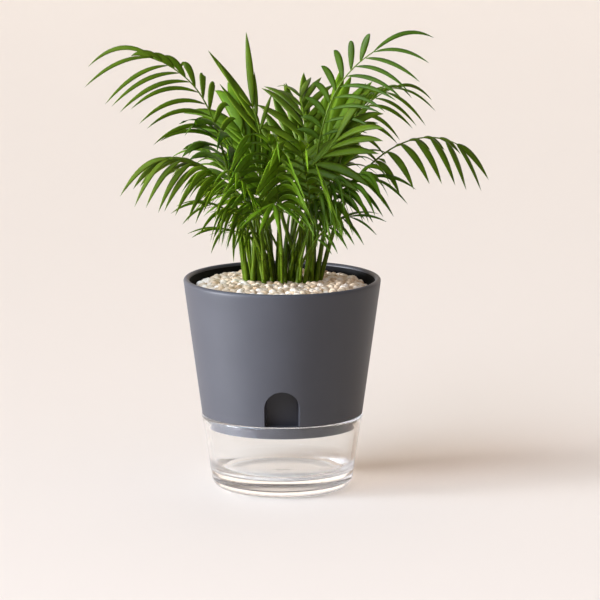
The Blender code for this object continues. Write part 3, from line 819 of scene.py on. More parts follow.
@dataclass
class Planter:
    """The tapered planter with its filling notch and the collar that enters the glass."""

    pot: PotSizes
    floor: float = 0.0032
    rim_depth: float = 0.0120
    collar_drop: float = 0.0095
    collar_wall: float = 0.0028
    notch_radius: float = 0.01325
    notch_top: float = 0.0845
    notch_depth: float = 0.0160
    notch_wall: float = 0.0020
    draft: float = 0.10
    channel_foot: float = 0.9
    sharp: float = radians(32)
    arch_steps: int = 40
    sides: int = 192

    def profile(self) -> Array:
        """From the inner floor over the rounded rim, down outside and round the collar.

        Returns:
            One (r, z) row per point.
        """
        pot = self.pot
        floor_top = pot.joint_height + self.floor
        lip = pot.rim_lip / 2
        collar_top = pot.joint_radius - pot.glass_wall - 2 * pot.clearance
        collar_foot_z = pot.joint_height - self.collar_drop
        collar_foot = pot.collar_radius(collar_foot_z)
        middle = pot.planter_radius(pot.rim_height - lip) - lip
        below = pot.rim_height - self.rim_depth
        inner_low = (pot.planter_radius(floor_top) - pot.planter_wall, floor_top)
        inner_high = (pot.planter_radius(below) - pot.planter_wall, below)
        return np.concatenate(
            (
                straight((0.0, floor_top), inner_low, 4)[:-1],
                straight(inner_low, inner_high, 12),
                arc((middle, pot.rim_height - lip), lip, 180, 0, 12),
                straight((middle + lip, pot.rim_height - lip), (pot.joint_radius, pot.joint_height), 40)[1:],
                ((collar_top, pot.joint_height), (collar_foot, collar_foot_z)),
                ((collar_foot - self.collar_wall, collar_foot_z),),
                ((collar_top - self.collar_wall, pot.joint_height), (0.0, pot.joint_height)),
            )
        )

    def outline(self, grow: float, low: float) -> Array:
        """The notch's outline in the (x, z) plane: a flat bottom and a round arched top.

        Args:
            grow: How far it stands outside the notch's own.
            low: Height of its flat bottom.

        Returns:
            Points, from the bottom's left end.
        """
        radius = self.notch_radius + grow
        turns = np.linspace(0.0, pi, self.arch_steps + 1)
        spring = self.notch_top - self.notch_radius
        return np.concatenate(
            (
                ((-radius, low), (radius, low)),
                np.stack((radius * np.cos(turns), spring + radius * np.sin(turns)), axis=1),
            )
        )

    def arch(self, grow: float, low: float, back: float) -> Shape:
        """A prism along Y with the notch's outline, which narrows by its draft toward the back.

        Args:
            grow: How far its outline stands outside the notch's.
            low: Height of its flat bottom.
            back: Its far end along Y.

        Returns:
            Points and faces.
        """
        front = -2 * self.pot.rim_radius
        ends = [
            np.insert(self.outline(grow - self.draft * (y + self.pot.joint_radius), low), 1, y, axis=1)
            for y in (front, back)
        ]
        count = len(ends[0])
        side = np.arange(count)
        after = (side + 1) % count
        walls = np.stack((side, side + count, after + count, after), axis=1)
        return np.concatenate(ends), [walls, np.stack((side, (2 * count - 1) - side))]

    def core(self) -> Array:
        """The space within the middle of the wall and of the collar, as a profile.

        Returns:
            One (r, z) row per point.
        """
        pot = self.pot
        inset = pot.planter_wall / 2
        foot = pot.joint_height - self.collar_drop
        collar = pot.collar_radius(foot) - self.collar_wall / 2
        return np.array(
            (
                (0.0, pot.rim_height),
                (pot.planter_radius(pot.rim_height) - inset, pot.rim_height),
                (pot.planter_radius(pot.joint_height) - inset, pot.joint_height),
                (collar, pot.joint_height - pot.clearance),
                (collar, foot + pot.clearance),
                (0.0, foot + pot.clearance),
            )
        )

    def channel(self) -> Array:
        """The space inside the collar, as a profile, through which water runs down.

        Returns:
            One (r, z) row per point.
        """
        pot = self.pot
        foot = pot.joint_height - self.collar_drop
        collar = pot.collar_radius(foot) - self.collar_wall
        below = self.channel_foot * foot
        return np.array(
            ((0.0, pot.joint_height), (collar, pot.joint_height), (collar, below), (0.0, below))
        )

    @staticmethod
    def carve(target: bpy.types.Object, helper: bpy.types.Object, action: Carving) -> None:
        """Applies one exact Boolean and removes its helper.

        Args:
            target: The object that is changed.
            helper: The object that changes it.
            action: What the helper does.
        """
        step = target.modifiers.new(action.name, "BOOLEAN")
        step.operation = action.value
        step.solver = "EXACT"
        step.object = helper
        graph = bpy.context.evaluated_depsgraph_get()
        graph.update()
        carved = bpy.data.meshes.new_from_object(target.evaluated_get(graph))
        target.modifiers.clear()
        spent = (target.data, helper.data)
        target.data = carved
        bpy.data.objects.remove(helper)
        for mesh in spent:
            bpy.data.meshes.remove(mesh)

    def build(self) -> list[bpy.types.Object]:
        """Turns the shell, lets in the notch and dresses it.

        Returns:
            The shell.
        """
        pot = self.pot
        finish = MouldedPlastic().material()
        front = -(pot.joint_radius - self.notch_depth)
        shell = mesh_object("planter_shell", *turned_surface(self.profile(), self.sides), finish)
        core = mesh_object("core", *turned_surface(self.core(), self.sides), finish)
        low = pot.joint_height - 2 * self.collar_drop
        housing = mesh_object("housing", *self.arch(self.notch_wall, low, front + self.notch_wall), finish)
        self.carve(housing, core, Carving.COMMON)
        self.carve(shell, housing, Carving.JOIN)
        hollow = mesh_object("hollow", *self.arch(0.0, pot.joint_height - pot.clearance, front), finish)
        self.carve(shell, hollow, Carving.CUT)
        drain = mesh_object("drain", *self.arch(0.0, low, front), finish)
        channel = mesh_object("channel", *turned_surface(self.channel(), self.sides), finish)
        self.carve(drain, channel, Carving.COMMON)
        self.carve(shell, drain, Carving.CUT)
        shell.data.polygons.foreach_set("use_smooth", np.ones(len(shell.data.polygons), bool))
        shell.data.set_sharp_from_angle(angle=self.sharp)
        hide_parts("planter")
        return [shell]


class StoneTone(Enum):
    """Tones of pebble: name, pale colour, dark colour and its share of the stones."""

    CREAM = ("cream", "#ead6ba", "#cbb08c", 0.55)
    WHITE = ("white", "#faefdf", "#e3cfb2", 0.27)
    TAN = ("tan", "#dcc09c", "#b3946c", 0.18)


@dataclass
class PebbleBed:
    """Several hundred loose pebbles that lie in two layers on the soil.

    Lengths are in metres, sizes and stretches are shares of a stone's mean radius.
    """

    pot: PotSizes
    top: float = 0.1578
    flat_radius: float = 0.054
    edge_radius: float = 0.0690
    edge_drop: float = 0.0070
    edge_power: float = 1.5
    count: int = 440
    layers: int = 2
    layer_turn: float = 1.9
    turn_shake: float = 0.035
    stone: float = 0.0034
    sizes: tuple[float, float] = (0.80, 1.22)
    wall_gap: float = 0.0030
    wall_height: float = 0.1500
    wall_room: float = 1.15
    sink: float = 0.75
    layer_drop: float = 0.0024
    uneven: tuple[float, float] = (-0.0010, 0.0008)
    stretches: tuple[tuple[float, float], ...] = ((0.95, 1.25), (0.80, 1.05), (0.62, 0.88))
    lump: float = 0.10
    tip: float = 0.28
    rings: int = 5
    around: int = 8

    def height(self, radius: Array) -> Array:
        """Flat, then falling by the edge drop times the share outward to its power."""
        share = np.clip((radius - self.flat_radius) / (self.edge_radius - self.flat_radius), 0.0, 1.0)
        return self.top - self.edge_drop * share**self.edge_power

    def unit_stone(self) -> Shape:
        """A ball of few faces: rings at even polar angles, closed by two poles."""
        polar = np.linspace(0.0, pi, self.rings + 2)
        return turned_surface(np.stack((np.sin(polar), np.cos(polar)), axis=1), self.around)

    def places(self, chance: np.random.Generator) -> tuple[Array, Array]:
        """Where the stones lie.

        Each layer is a sunflower disc, radius R sqrt((i + 1/2) / n) at i golden
        turns, shaken a little, and lower layers lie a stone deeper.

        Args:
            chance: The source of chance.

        Returns:
            The middles and the mean radii.
        """
        number = np.tile(np.arange(self.count), self.layers)
        layer = np.repeat(np.arange(self.layers), self.count)
        size = self.stone * chance.uniform(*self.sizes, len(number))
        wall = self.pot.planter_radius(self.wall_height) - self.pot.planter_wall - self.wall_gap
        radius = (wall - self.wall_room * size) * np.sqrt((number + 0.5) / self.count)
        shake = chance.normal(0.0, self.turn_shake, len(number))
        turn = number * GOLDEN_TURN + layer * self.layer_turn + shake
        uneven = chance.uniform(*self.uneven, len(number))
        height = self.height(radius) - self.sink * size - layer * self.layer_drop + uneven
        return np.stack((radius * np.cos(turn), radius * np.sin(turn), height), axis=1), size

    def stones(self) -> Shape:
        """Shapes all stones and puts them in their places.

        A stone is a ball whose radius is 1 + lump sin(3 p.k + phase) at each point
        p, stretched along three axes, tipped a little and turned about the upright.

        Returns:
            Points of every stone, (stones, points, 3), and the faces of one.
        """
        chance = np.random.default_rng(SEED)
        middles, size = self.places(chance)
        ball, faces = self.unit_stone()
        count = len(middles)
        lumps = unit(chance.normal(size=(count, 3)))
        phase = chance.uniform(0.0, 2 * pi, count)
        swell = 1.0 + self.lump * np.sin(3.0 * lumps @ ball.T + phase[:, None])
        stretch = np.stack([chance.uniform(*bounds, count) for bounds in self.stretches], axis=1)
        upright = unit(UP + chance.normal(0.0, self.tip, (count, 3)))
        first = unit(np.cross(upright, unit(chance.normal(size=(count, 3)))))
        turn = np.stack((first, np.cross(upright, first), upright), axis=2)
        shaped = ball * swell[:, :, None] * stretch[:, None] * size[:, None, None]
        return np.einsum("nij,npj->npi", turn, shaped) + middles[:, None], faces

    def build(self) -> list[bpy.types.Object]:
        """Deals the stones out to three tones and joins each tone.

        Returns:
            One piece per tone.
        """
        points, faces = self.stones()
        odds = [tone.value[-1] for tone in StoneTone]
        dealt = np.random.default_rng(SEED + 1).choice(len(odds), len(points), p=odds)
        pieces = []
        for number, tone in enumerate(StoneTone):
            name, pale, dark, _ = tone.value
            chosen = points[dealt == number]
            blocks = repeated(faces, len(chosen), points.shape[1])
            finish = PebbleStone(f"tumbled_limestone_{name}", pale, dark).material()
            piece = mesh_object(f"pebbles_{name}", chosen.reshape(-1, 3), blocks, finish)
            pieces.append(piece)
        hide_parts("pebble_bed")
        return pieces


# Plant


@dataclass(frozen=True)
class UpperSide:
    """How the leaflets on a frond's upper side differ: two angles in degrees, and shares of size."""

    fold: float = 14.0
    opening: float = 0.0
    length: float = 1.0
    width: float = 1.0


@dataclass
class Frond:
    """One frond. tip is the end of its rib and leaflet the length of its leaflets, in metres.

    Angles are in degrees. The leaflets start at blade_start, a share of the rib.
    straightness is the share of its length for which the rib keeps its heading, droop
    the sag of a leaflet over its length, and width its breadth over its length.
    """

    name: str
    tip: tuple[float, float, float]
    end_pitch: float
    roll: float
    leaflet: float
    blade_start: float
    pairs: int
    straightness: float
    droop: float
    tone: LeafTone
    width: float
    opening: float = 0.0
    upper: UpperSide = UpperSide()


@dataclass
class Tier:
    """Fronds of one height that fill the crown, at the given turns about the axis."""

    name: str
    reach: float
    height: float
    end_pitch: float
    leaflet: float
    blade_start: float
    pairs: int
    straightness: float
    droop: float
    width: float
    deeper: float
    turns: tuple[float, ...]


OUTLINE_FRONDS = (
    Frond(
        "frond_top_left", (-0.096, -0.015, 0.330), 26, -50, 0.062, 0.46, 8, 0.60, 0.62,
        LeafTone.MID, 0.066, -10, UpperSide(-22.0, -8.0, 0.44, 3.1),
    ),
    Frond(
        "frond_upright", (-0.022, 0.014, 0.288), 68, -60, 0.061, 0.78, 2, 0.45, 0.04,
        LeafTone.MID, 0.096, -30, UpperSide(25.0, 6.0, 0.60, 1.1),
    ),
    Frond(
        "frond_left", (-0.084, -0.030, 0.256), 4, -30, 0.052, 0.42, 6, 0.50, 0.86,
        # Its tone is a painted sheen, a greyer green for the light that this frond catches
        LeafTone.SILVERED, 0.098, -8, UpperSide(14.0, -12.0, 0.9, 1.4),
    ),
    Frond(
        "frond_low_left", (-0.052, -0.034, 0.222), 18, -30, 0.037, 0.35, 5, 0.35, 0.46,
        LeafTone.MID, 0.074, 6,
    ),
    Frond(
        "frond_lowest_left", (-0.043, -0.040, 0.204), 12, -30, 0.034, 0.30, 4, 0.35, 0.42,
        LeafTone.MID, 0.074, 8,
    ),
    Frond(
        "frond_top_right", (0.068, -0.015, 0.334), 34, 60, 0.053, 0.46, 8, 0.50, 0.44,
        LeafTone.DEEP, 0.070, -6, UpperSide(-30.0, 8.0, 0.45, 3.5),
    ),
    Frond(
        "frond_upper_right", (0.084, 0.012, 0.303), 18, 35, 0.042, 0.50, 7, 0.46, 0.70,
        LeafTone.MID, 0.084, -4,
    ),
    Frond(
        "frond_arching_right", (0.131, -0.010, 0.264), -26, 32, 0.043, 0.48, 6, 0.45, 0.80,
        LeafTone.MID, 0.140, 2, UpperSide(20.0, -8.0, 0.55, 1.2),
    ),
    Frond(
        "frond_right", (0.064, -0.020, 0.240), 14, 30, 0.042, 0.42, 6, 0.42, 0.60,
        LeafTone.DEEP, 0.090,
    ),
    Frond(
        "frond_low_right", (0.050, -0.036, 0.213), 14, 30, 0.034, 0.35, 5, 0.35, 0.40,
        LeafTone.DEEP, 0.078, 4,
    ),
    Frond(
        "frond_front", (-0.006, -0.058, 0.226), -10, 0, 0.036, 0.66, 4, 0.50, 0.50,
        LeafTone.FRESH, 0.120, 24,
    ),
    Frond(
        "frond_back_top", (0.014, 0.042, 0.292), 30, 0, 0.048, 0.50, 6, 0.50, 0.30,
        LeafTone.MID, 0.130, -12,
    ),
)
TIERS = (
    Tier("high", 0.045, 0.266, 58, 0.056, 0.36, 7, 0.50, 0.20, 0.165, 0.10,
         (35, 67, 129, 212, 261, 289, 337)),
    Tier("middle", 0.058, 0.246, 42, 0.038, 0.40, 6, 0.50, 0.36, 0.104, 0.40,
         (38, 71, 110, 152, 221, 246, 304, 333)),
    Tier("low", 0.054, 0.224, 14, 0.034, 0.46, 5, 0.45, 0.50, 0.100, 0.10,
         (76, 144, 229, 308)),
)
TIER_TONES = (LeafTone.MID, LeafTone.FRESH, LeafTone.DEEP, LeafTone.FRESH, LeafTone.BRIGHT)


@dataclass
class CrownRule:
    """The rule by which canes and ribs grow, as in the solids, in metres.

    The looks' own are foot_depth and foot_back, by which the clump's feet are drawn in,
    and what look_ names, by which each inner frond's leaflets vary. A pair of numbers is
    a range for chance. Leaflets that face the camera hang more, by look_hang.
    """

    outer_canes: int = 11
    outer_shift: float = 0.25
    inner_canes: int = 5
    inner_shift: float = 0.20
    half_width: float = 0.0250
    half_depth: float = 0.0200
    inner_share: float = 0.48
    foot_height: float = 0.1563
    foot_depth: float = 0.62
    foot_back: float = 0.004
    shortest: float = 0.014
    tallest: float = 0.050
    share_of_rise: float = 0.30
    lean: float = 2.2
    low_rise: float = 0.12
    low_lean: float = 0.03
    cane_limit: int = 2
    aim_share: float = 0.22
    low_frond: float = 0.230
    steep_mix: float = 0.25
    flat_mix: float = 0.55
    pair_offset: float = 0.00155
    start_gap: float = 0.0009
    end_reach: float = 0.34
    rib_samples: int = 60
    tier_reaches: tuple[float, float] = (0.92, 1.06)
    tier_rises: tuple[float, float] = (-0.005, 0.005)
    tier_pitches: tuple[float, float] = (-6.0, 6.0)
    tier_rolls: tuple[float, float] = (-14.0, 14.0)
    tier_twist: float = 45.0
    look_rolls: tuple[float, float] = (-18.0, 18.0)
    look_droops: tuple[float, float] = (0.7, 2.2)
    look_widths: tuple[float, float] = (0.80, 1.15)
    look_openings: tuple[float, float] = (-34.0, -8.0)
    look_hang: float = 1.5

    def feet(self) -> Array:
        """The canes' places: an outer and an inner oval.

        Returns:
            One (x, y) row per cane.
        """
        ovals = (
            (self.outer_canes, 1.0, self.outer_shift),
            (self.inner_canes, self.inner_share, self.inner_shift),
        )
        turns = [2 * pi * (np.arange(count) + shift) / count for count, _, shift in ovals]
        return np.concatenate(
            [
                share * np.stack((self.half_width * np.cos(turn), self.half_depth * np.sin(turn)), axis=1)
                for (_, share, _), turn in zip(ovals, turns)
            ]
        )

    def fronds(self) -> list[Frond]:
        """The outline fronds and, by a seeded rule, those that fill the crown.

        Returns:
            All fronds.
        """
        chance = np.random.default_rng(SEED)
        looks = np.random.default_rng(SEED + 3)
        fronds = list(OUTLINE_FRONDS)
        for tier in TIERS:
            for number, turn in enumerate(tier.turns):
                right, back = cos(radians(turn)), sin(radians(turn))
                reach = tier.reach * chance.uniform(*self.tier_reaches) * (1 + tier.deeper * back**2)
                height = tier.height + chance.uniform(*self.tier_rises)
                pitch = tier.end_pitch + chance.uniform(*self.tier_pitches)
                roll = self.tier_twist * right + chance.uniform(*self.tier_rolls)
                hang = 1.0 + self.look_hang * max(0.0, -back)
                fronds.append(
                    Frond(
                        f"frond_{tier.name}_{number + 1}", (reach * right, reach * back, height), pitch,
                        roll + looks.uniform(*self.look_rolls), tier.leaflet, tier.blade_start,
                        tier.pairs, tier.straightness, hang * tier.droop * looks.uniform(*self.look_droops),
                        TIER_TONES[(number + len(tier.name)) % len(TIER_TONES)],
                        tier.width * looks.uniform(*self.look_widths), looks.uniform(*self.look_openings),
                    )
                )
        return fronds

    def share_out(self, fronds: Sequence[Frond], feet: Array) -> dict[str, int]:
        """Deals the fronds out to the canes, each to the nearest to its aim that has room.

        Args:
            fronds: All fronds.
            feet: What feet() gives.

        Returns:
            Frond name to the number of its cane.
        """
        room = np.full(len(feet), self.cane_limit)
        canes: dict[str, int] = {}
        for frond in sorted(fronds, key=lambda frond: -np.hypot(*frond.tip[:2])):
            distance = np.linalg.norm(feet - self.aim_share * np.array(frond.tip[:2]), axis=1)
            chosen = int(np.argmin(np.where(room > 0, distance, np.inf)))
            room[chosen] -= 1
            canes[frond.name] = chosen
        return canes

    def drawn_in(self, foot: Array) -> Array:
        """A cane's foot drawn in from front and back, as the clump stands in its pebbles."""
        return foot * (1.0, self.foot_depth, 1.0) + (0.0, self.foot_back, 0.0)

    def cane_line(self, foot: Array, mates: Sequence[Frond]) -> Array:
        """The line of a cane that leans to its fronds.

        Args:
            foot: Where it stands, as (x, y).
            mates: The fronds that it bears.

        Returns:
            Its foot, a point just above the foot and its top.
        """
        mean = np.mean([frond.tip for frond in mates], axis=0)
        base = np.array((*foot, self.foot_height))
        rise = np.clip(self.share_of_rise * (mean[2] - base[2]), self.shortest, self.tallest)
        lean = np.append((mean[:2] - foot) * self.lean * rise, 0.0)
        low = base + UP * self.low_rise * rise + lean * self.low_lean
        return np.stack((base, low, base + lean + UP * rise))

    def rib(self, frond: Frond, mates: Sequence[Frond], line: Array) -> Array:
        """A frond's rib, a cubic curve from its cane's top to its tip.

        Args:
            frond: The frond.
            mates: All fronds of its cane.
            line: What cane_line() gives.

        Returns:
            Points of the rib.
        """
        direction = unit(line[-1] - line[-2])
        tip = np.array(frond.tip)
        start = line[-1] + direction * self.start_gap
        for mate in mates:
            if mate.name != frond.name:
                apart = np.append(tip[:2] - np.array(mate.tip[:2]), 0.0)
                start = start + unit(apart - direction * (apart @ direction)) * self.pair_offset
        mix = self.steep_mix if frond.tip[2] > self.low_frond else self.flat_mix
        heading = unit(direction * (1 - mix) + unit(tip - start) * mix)
        length = np.linalg.norm(tip - start)
        pitch = radians(frond.end_pitch)
        end = unit((tip - start) * (1.0, 1.0, 0.0)) * cos(pitch) + UP * sin(pitch)
        near = start + heading * frond.straightness * length
        return cubic(start, near, tip - end * self.end_reach * length, tip, self.rib_samples)

    def grown(self) -> Iterator[tuple[Array, list[tuple[Frond, Array]]]]:
        """Grows the canes that bear fronds.

        Yields:
            Each cane's line, with its fronds and their ribs.
        """
        feet = self.feet()
        fronds = self.fronds()
        cane_of = self.share_out(fronds, feet)
        for number, foot in enumerate(feet):
            mates = [frond for frond in fronds if cane_of[frond.name] == number]
            if mates:
                line = self.cane_line(foot, mates)
                yield line, [(frond, self.rib(frond, mates, line)) for frond in mates]


def along(curve: Array, shares: Array, step: float = 0.01) -> tuple[Array, Array]:
    """Places and directions at shares of a curve's length.

    Args:
        curve: Points of the curve.
        shares: Shares of its length, from zero to one.
        step: How far before and after each place its direction is taken.

    Returns:
        One place and one direction of length one per share.
    """
    steps = np.linalg.norm(np.diff(curve, axis=0), axis=1)
    length = np.concatenate(((0.0,), np.cumsum(steps)))
    length /= length[-1]

    def place(share: Array) -> Array:
        """Points at shares of the length."""
        return np.stack([np.interp(share, length, curve[:, axis]) for axis in range(3)], axis=-1)

    after, before = place(np.minimum(shares + step, 1.0)), place(np.maximum(shares - step, 0.0))
    return place(shares), unit(after - before)


@dataclass
class CaneClump:
    """The canes, the leaf stalks and ribs that they bear, and each frond's own stem.

    Radii, lengths and spacings are in metres. stem_near and stem_far are how far from
    its two ends a stem's curve has its middle points, as shares of the way between them.
    """

    rule: CrownRule
    foot_radius: float = 0.0012
    top_radius: float = 0.0010
    sheath_radius: float = 0.0002
    sheath_length: float = 0.030
    stem_radius: float = 0.00185
    stem_reach: float = 0.46
    stem_spread: float = 1.10
    stem_lean: float = 1.6
    stem_near: float = 0.40
    stem_far: float = 0.30
    stem_thinning: float = 1.5
    stem_stations: int = 26
    rib_foot: float = 0.00085
    rib_tip: float = 0.00042
    ring_spacing: float = 0.0085
    ring_swell: float = 0.03
    ring_width: float = 0.10
    bend_share: float = 0.12
    buried: float = 0.004
    root_share: float = 0.9
    bunching: float = 1.15
    cane_stations: int = 30
    rib_stations: int = 44
    cane_sides: int = 14
    stalk_sides: int = 10

    def cane(self, line: Array) -> Shape:
        """A cane: a bent path whose radius swells a little in evenly spaced thin rings.

        The swelling is exp(-((p - 1/2) / width)^2), with p the share of the spacing.

        Args:
            line: Its foot, the point above the foot and its top.

        Returns:
            Points and faces.
        """
        t = np.linspace(0.0, 1.0, self.cane_stations)
        base, low, top = self.rule.drawn_in(line[0]), self.rule.drawn_in(line[1]), line[2]
        foot = base - UP * self.buried
        share, bend = t[:, None], self.bend_share
        path = np.where(
            share < bend, foot + (low - foot) * share / bend, low + (top - low) * (share - bend) / (1 - bend)
        )
        rise = np.linalg.norm(path - foot, axis=1)
        phase = (rise % self.ring_spacing) / self.ring_spacing
        ring = 1.0 + self.ring_swell * np.exp(-(((phase - 0.5) / self.ring_width) ** 2))
        radii = (self.foot_radius + t * (self.top_radius - self.foot_radius)) * ring
        return tube(path, radii, RIGHT, self.cane_sides)

    def stalk(self, rib: Array, cane_top: Array) -> Shape:
        """A leaf stalk and rib: thin, with a sheath that fades out from the cane.

        Args:
            rib: Points of the rib.
            cane_top: The top of the cane that bears it.

        Returns:
            Points and faces.
        """
        shares = np.linspace(0.0, 1.0, self.rib_stations) ** self.bunching
        places, directions = along(rib, shares)
        length = np.linalg.norm(np.diff(rib, axis=0), axis=1).sum()
        radii = self.rib_foot + shares * (self.rib_tip - self.rib_foot)
        radii = radii + self.sheath_radius * np.exp(-shares * length / self.sheath_length)
        root = cane_top - directions[0] * self.buried
        flat = (rib[-1] - rib[0]) * (1.0, 1.0, 0.0)
        side = np.cross(unit(flat), UP)
        radii = np.append(self.top_radius * self.root_share, radii)
        return tube(np.vstack((root, places)), radii, side, self.stalk_sides)

    def stem_feet(self, fronds: Sequence[Frond]) -> dict[str, Array]:
        """Where each frond's own stem stands, dealt out from left to right over an oval.

        With s from -1 to 1 by even steps, the foot is (half width s, half depth
        sqrt(1 - s^2) v), and v from -1 to 1 is the foot's number in golden steps.

        Args:
            fronds: All fronds.

        Returns:
            Frond name to the foot of its stem.
        """
        share = np.linspace(-1.0, 1.0, len(fronds))
        deep = 2.0 * (np.arange(len(fronds)) * GOLDEN_TURN / (2 * pi) % 1.0) - 1.0
        wide, depth = self.stem_spread * self.rule.half_width, self.stem_spread * self.rule.half_depth
        low = np.full(len(fronds), self.rule.foot_height - self.buried)
        feet = np.stack((wide * share, depth * np.sqrt(1.0 - share**2) * deep, low), axis=1)
        names = [frond.name for frond in sorted(fronds, key=lambda frond: frond.tip[0])]
        return dict(zip(names, self.rule.drawn_in(feet)))

    def stem(self, rib: Array, foot: Array) -> Shape:
        """A frond's own stem, from the pebbles to its rib.

        It is a cubic curve that leaves its foot between the upright and its end,
        ends along the rib and thins to the rib's radius.

        Args:
            rib: Points of the rib.
            foot: Where it stands.

        Returns:
            Points and faces.
        """
        (end,), (ahead,) = (found for found in along(rib, np.array([self.stem_reach])))
        reach = np.linalg.norm(end - foot)
        near = foot + unit(UP + self.stem_lean * unit(end - foot)) * self.stem_near * reach
        path = cubic(foot, near, end - ahead * self.stem_far * reach, end, self.stem_stations)
        thinned = np.linspace(0.0, 1.0, self.stem_stations) ** self.stem_thinning
        radii = self.stem_radius + thinned * (self.rib_foot - self.stem_radius)
        return tube(path, radii, RIGHT, self.stalk_sides)

    def build(self) -> list[bpy.types.Object]:
        """Joins the canes and the stalks, each kind apart, and dresses them.

        Returns:
            The canes and the stalks.
        """
        canes, stalks = [], []
        feet = self.stem_feet(self.rule.fronds())
        for line, borne in self.rule.grown():
            canes.append(self.cane(line))
            for frond, rib in borne:
                stalks += [self.stalk(rib, line[-1]), self.stem(rib, feet[frond.name])]
        cane_skin = GreenCane("green_cane_skin", "#3e5406", "#5f7612").material()
        stalk_skin = GreenCane("green_stalk_skin", "#3a5006", "#5a7010").material()
        cane_piece = mesh_object("canes", *joined(canes), cane_skin)
        stalk_piece = mesh_object("leaf_stalks", *joined(stalks), stalk_skin)
        nodes = [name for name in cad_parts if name.startswith("cane_")]
        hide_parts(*nodes)
        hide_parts("frond_arching_right_stem")
        return [cane_piece, stalk_piece]


@dataclass
class Foliage:
    """The leaflets, each in its own outline along the ribs that the solids' rule grows."""

    rule: CrownRule
    thickness: float = 0.00022
    edge_taper: float = 12.0
    foot_width: float = 0.01
    foot_power: float = 0.70
    tip_power: float = 0.95
    fold: float = radians(14)
    tilt: float = radians(16)
    keel: float = 0.20
    sweep_first: float = radians(56)
    sweep_last: float = radians(34)
    sweep_end: float = radians(16)
    shortest: float = 0.76
    swell_start: float = 0.12
    swell_span: float = 0.62
    stagger: float = 0.22
    uneven: float = 0.05
    lengths: tuple[float, float] = (0.95, 1.03)
    stations: int = 13

    def rows(self, frond: Frond, rib: Array, chance: np.random.Generator) -> dict[str, Array]:
        """Where each leaflet of a frond leaves the rib, and how it lies.

        Args:
            frond: The frond.
            rib: Points of its rib.
            chance: The source of chance.

        Returns:
            Arrays with one row per leaflet: place, direction, normal, side, hand,
            sweep, droop, length, width and fold.
        """
        shares = np.repeat(np.linspace(0.0, 1.0, frond.pairs + 1), 2)
        hand = np.tile((-1.0, 1.0), frond.pairs + 1)
        stagger = np.where(shares < 1.0, hand * self.stagger / frond.pairs, 0.0)
        reach = np.clip(shares + stagger, 0.0, 1.0)
        place, direction = along(rib, frond.blade_start + (1.0 - frond.blade_start) * reach)
        level = unit(np.cross(direction, UP))
        up = unit(np.cross(level, direction))
        c, s = cos(radians(frond.roll)), sin(radians(frond.roll))
        swell = np.sin(pi * (self.swell_start + self.swell_span * shares))
        sweep = self.sweep_first + shares * (self.sweep_last - self.sweep_first)
        count = len(shares)
        upper = (hand * frond.roll < 0) & (shares < 1.0)
        length = frond.leaflet * (self.shortest + (1 - self.shortest) * swell)
        length = length * np.where(upper, frond.upper.length, 1.0)
        opening = np.radians(frond.opening + np.where(upper, frond.upper.opening, 0.0))
        sweep = np.where(shares < 1.0, sweep + opening, self.sweep_end)
        return {
            "place": place,
            "direction": direction,
            "normal": up * c + level * s,
            "side": level * c - up * s,
            "hand": hand,
            "sweep": sweep + chance.normal(0.0, self.uneven, count),
            "droop": frond.droop + chance.normal(0.0, self.uneven, count),
            "length": length * chance.uniform(*self.lengths, count),
            "width": frond.width * np.where(upper, frond.upper.width, 1.0),
            "fold": np.where(upper, radians(frond.upper.fold), self.fold),
        }

    def blades(self, row: dict[str, Array]) -> tuple[Array, list[Indices], Array]:
        """The leaflets as closed thin surfaces.

        With t along the leaflet, its middle line is root + (start t - up droop t^2)
        times a scale that keeps its length, its half width is w (t + foot width)^foot
        power (1 - t)^tip power, and a point across it at u from -1 to 1 is let down by
        the keel times |u|. The under side is the thickness lower, but less where edge
        taper times that power product is under one.

        Args:
            row: What rows() gives.

        Returns:
            Points, faces, and UV with u across and t along.
        """
        hand = row["hand"][:, None]
        fold = row["fold"][:, None]
        outward = hand * row["side"] * np.cos(fold) - row["normal"] * np.sin(fold)
        sweep = row["sweep"][:, None]
        start = row["direction"] * np.cos(sweep) + outward * np.sin(sweep)
        t = np.linspace(0.0, 1.0, self.stations)[None, :, None]
        droop = row["droop"][:, None, None]
        bend = start[:, None] * t - UP * droop * t**2
        length = np.linalg.norm(np.diff(bend, axis=1), axis=2).sum(axis=1)
        path = row["place"][:, None] + bend * (row["length"] / length)[:, None, None]
        ahead = unit(start[:, None] - 2 * UP * droop * t)
        normal = row["normal"][:, None]
        over = unit(normal - ahead * np.sum(ahead * normal, axis=2, keepdims=True))
        across = np.cross(ahead, over)
        flip = hand[:, :, None]
        side = across * cos(self.tilt) + flip * over * sin(self.tilt)
        top = over * cos(self.tilt) - flip * across * sin(self.tilt)
        shape = (t + self.foot_width) ** self.foot_power * (1.0 - t) ** self.tip_power
        half = shape / shape.max() * (row["width"] * row["length"] / 2)[:, None, None]
        u = np.array((-1.0, -0.5, 0.0, 0.5, 1.0, 0.5, 0.0, -0.5))
        under = np.array((0.5, 1.0, 1.0, 1.0, 0.5, 0.0, 0.0, 0.0))
        lift = -self.keel * np.abs(u)
        thick = self.thickness * under * np.minimum(1.0, self.edge_taper * shape)
        points = (
            path[:, :, None]
            + side[:, :, None] * (half * u)[..., None]
            + top[:, :, None] * (half * lift - thick)[..., None]
        )
        around = len(u)
        per_leaf = self.stations * around
        ends = np.arange(around)
        leaf = [grid_faces(self.stations, around), np.stack((ends, per_leaf - 1 - ends))]
        uv = np.stack(np.broadcast_arrays((u + 1) / 2, t[0]), axis=-1).reshape(-1, 2)
        faces = repeated(leaf, len(path), per_leaf)
        return points.reshape(-1, 3), faces, np.tile(uv, (len(path), 1))

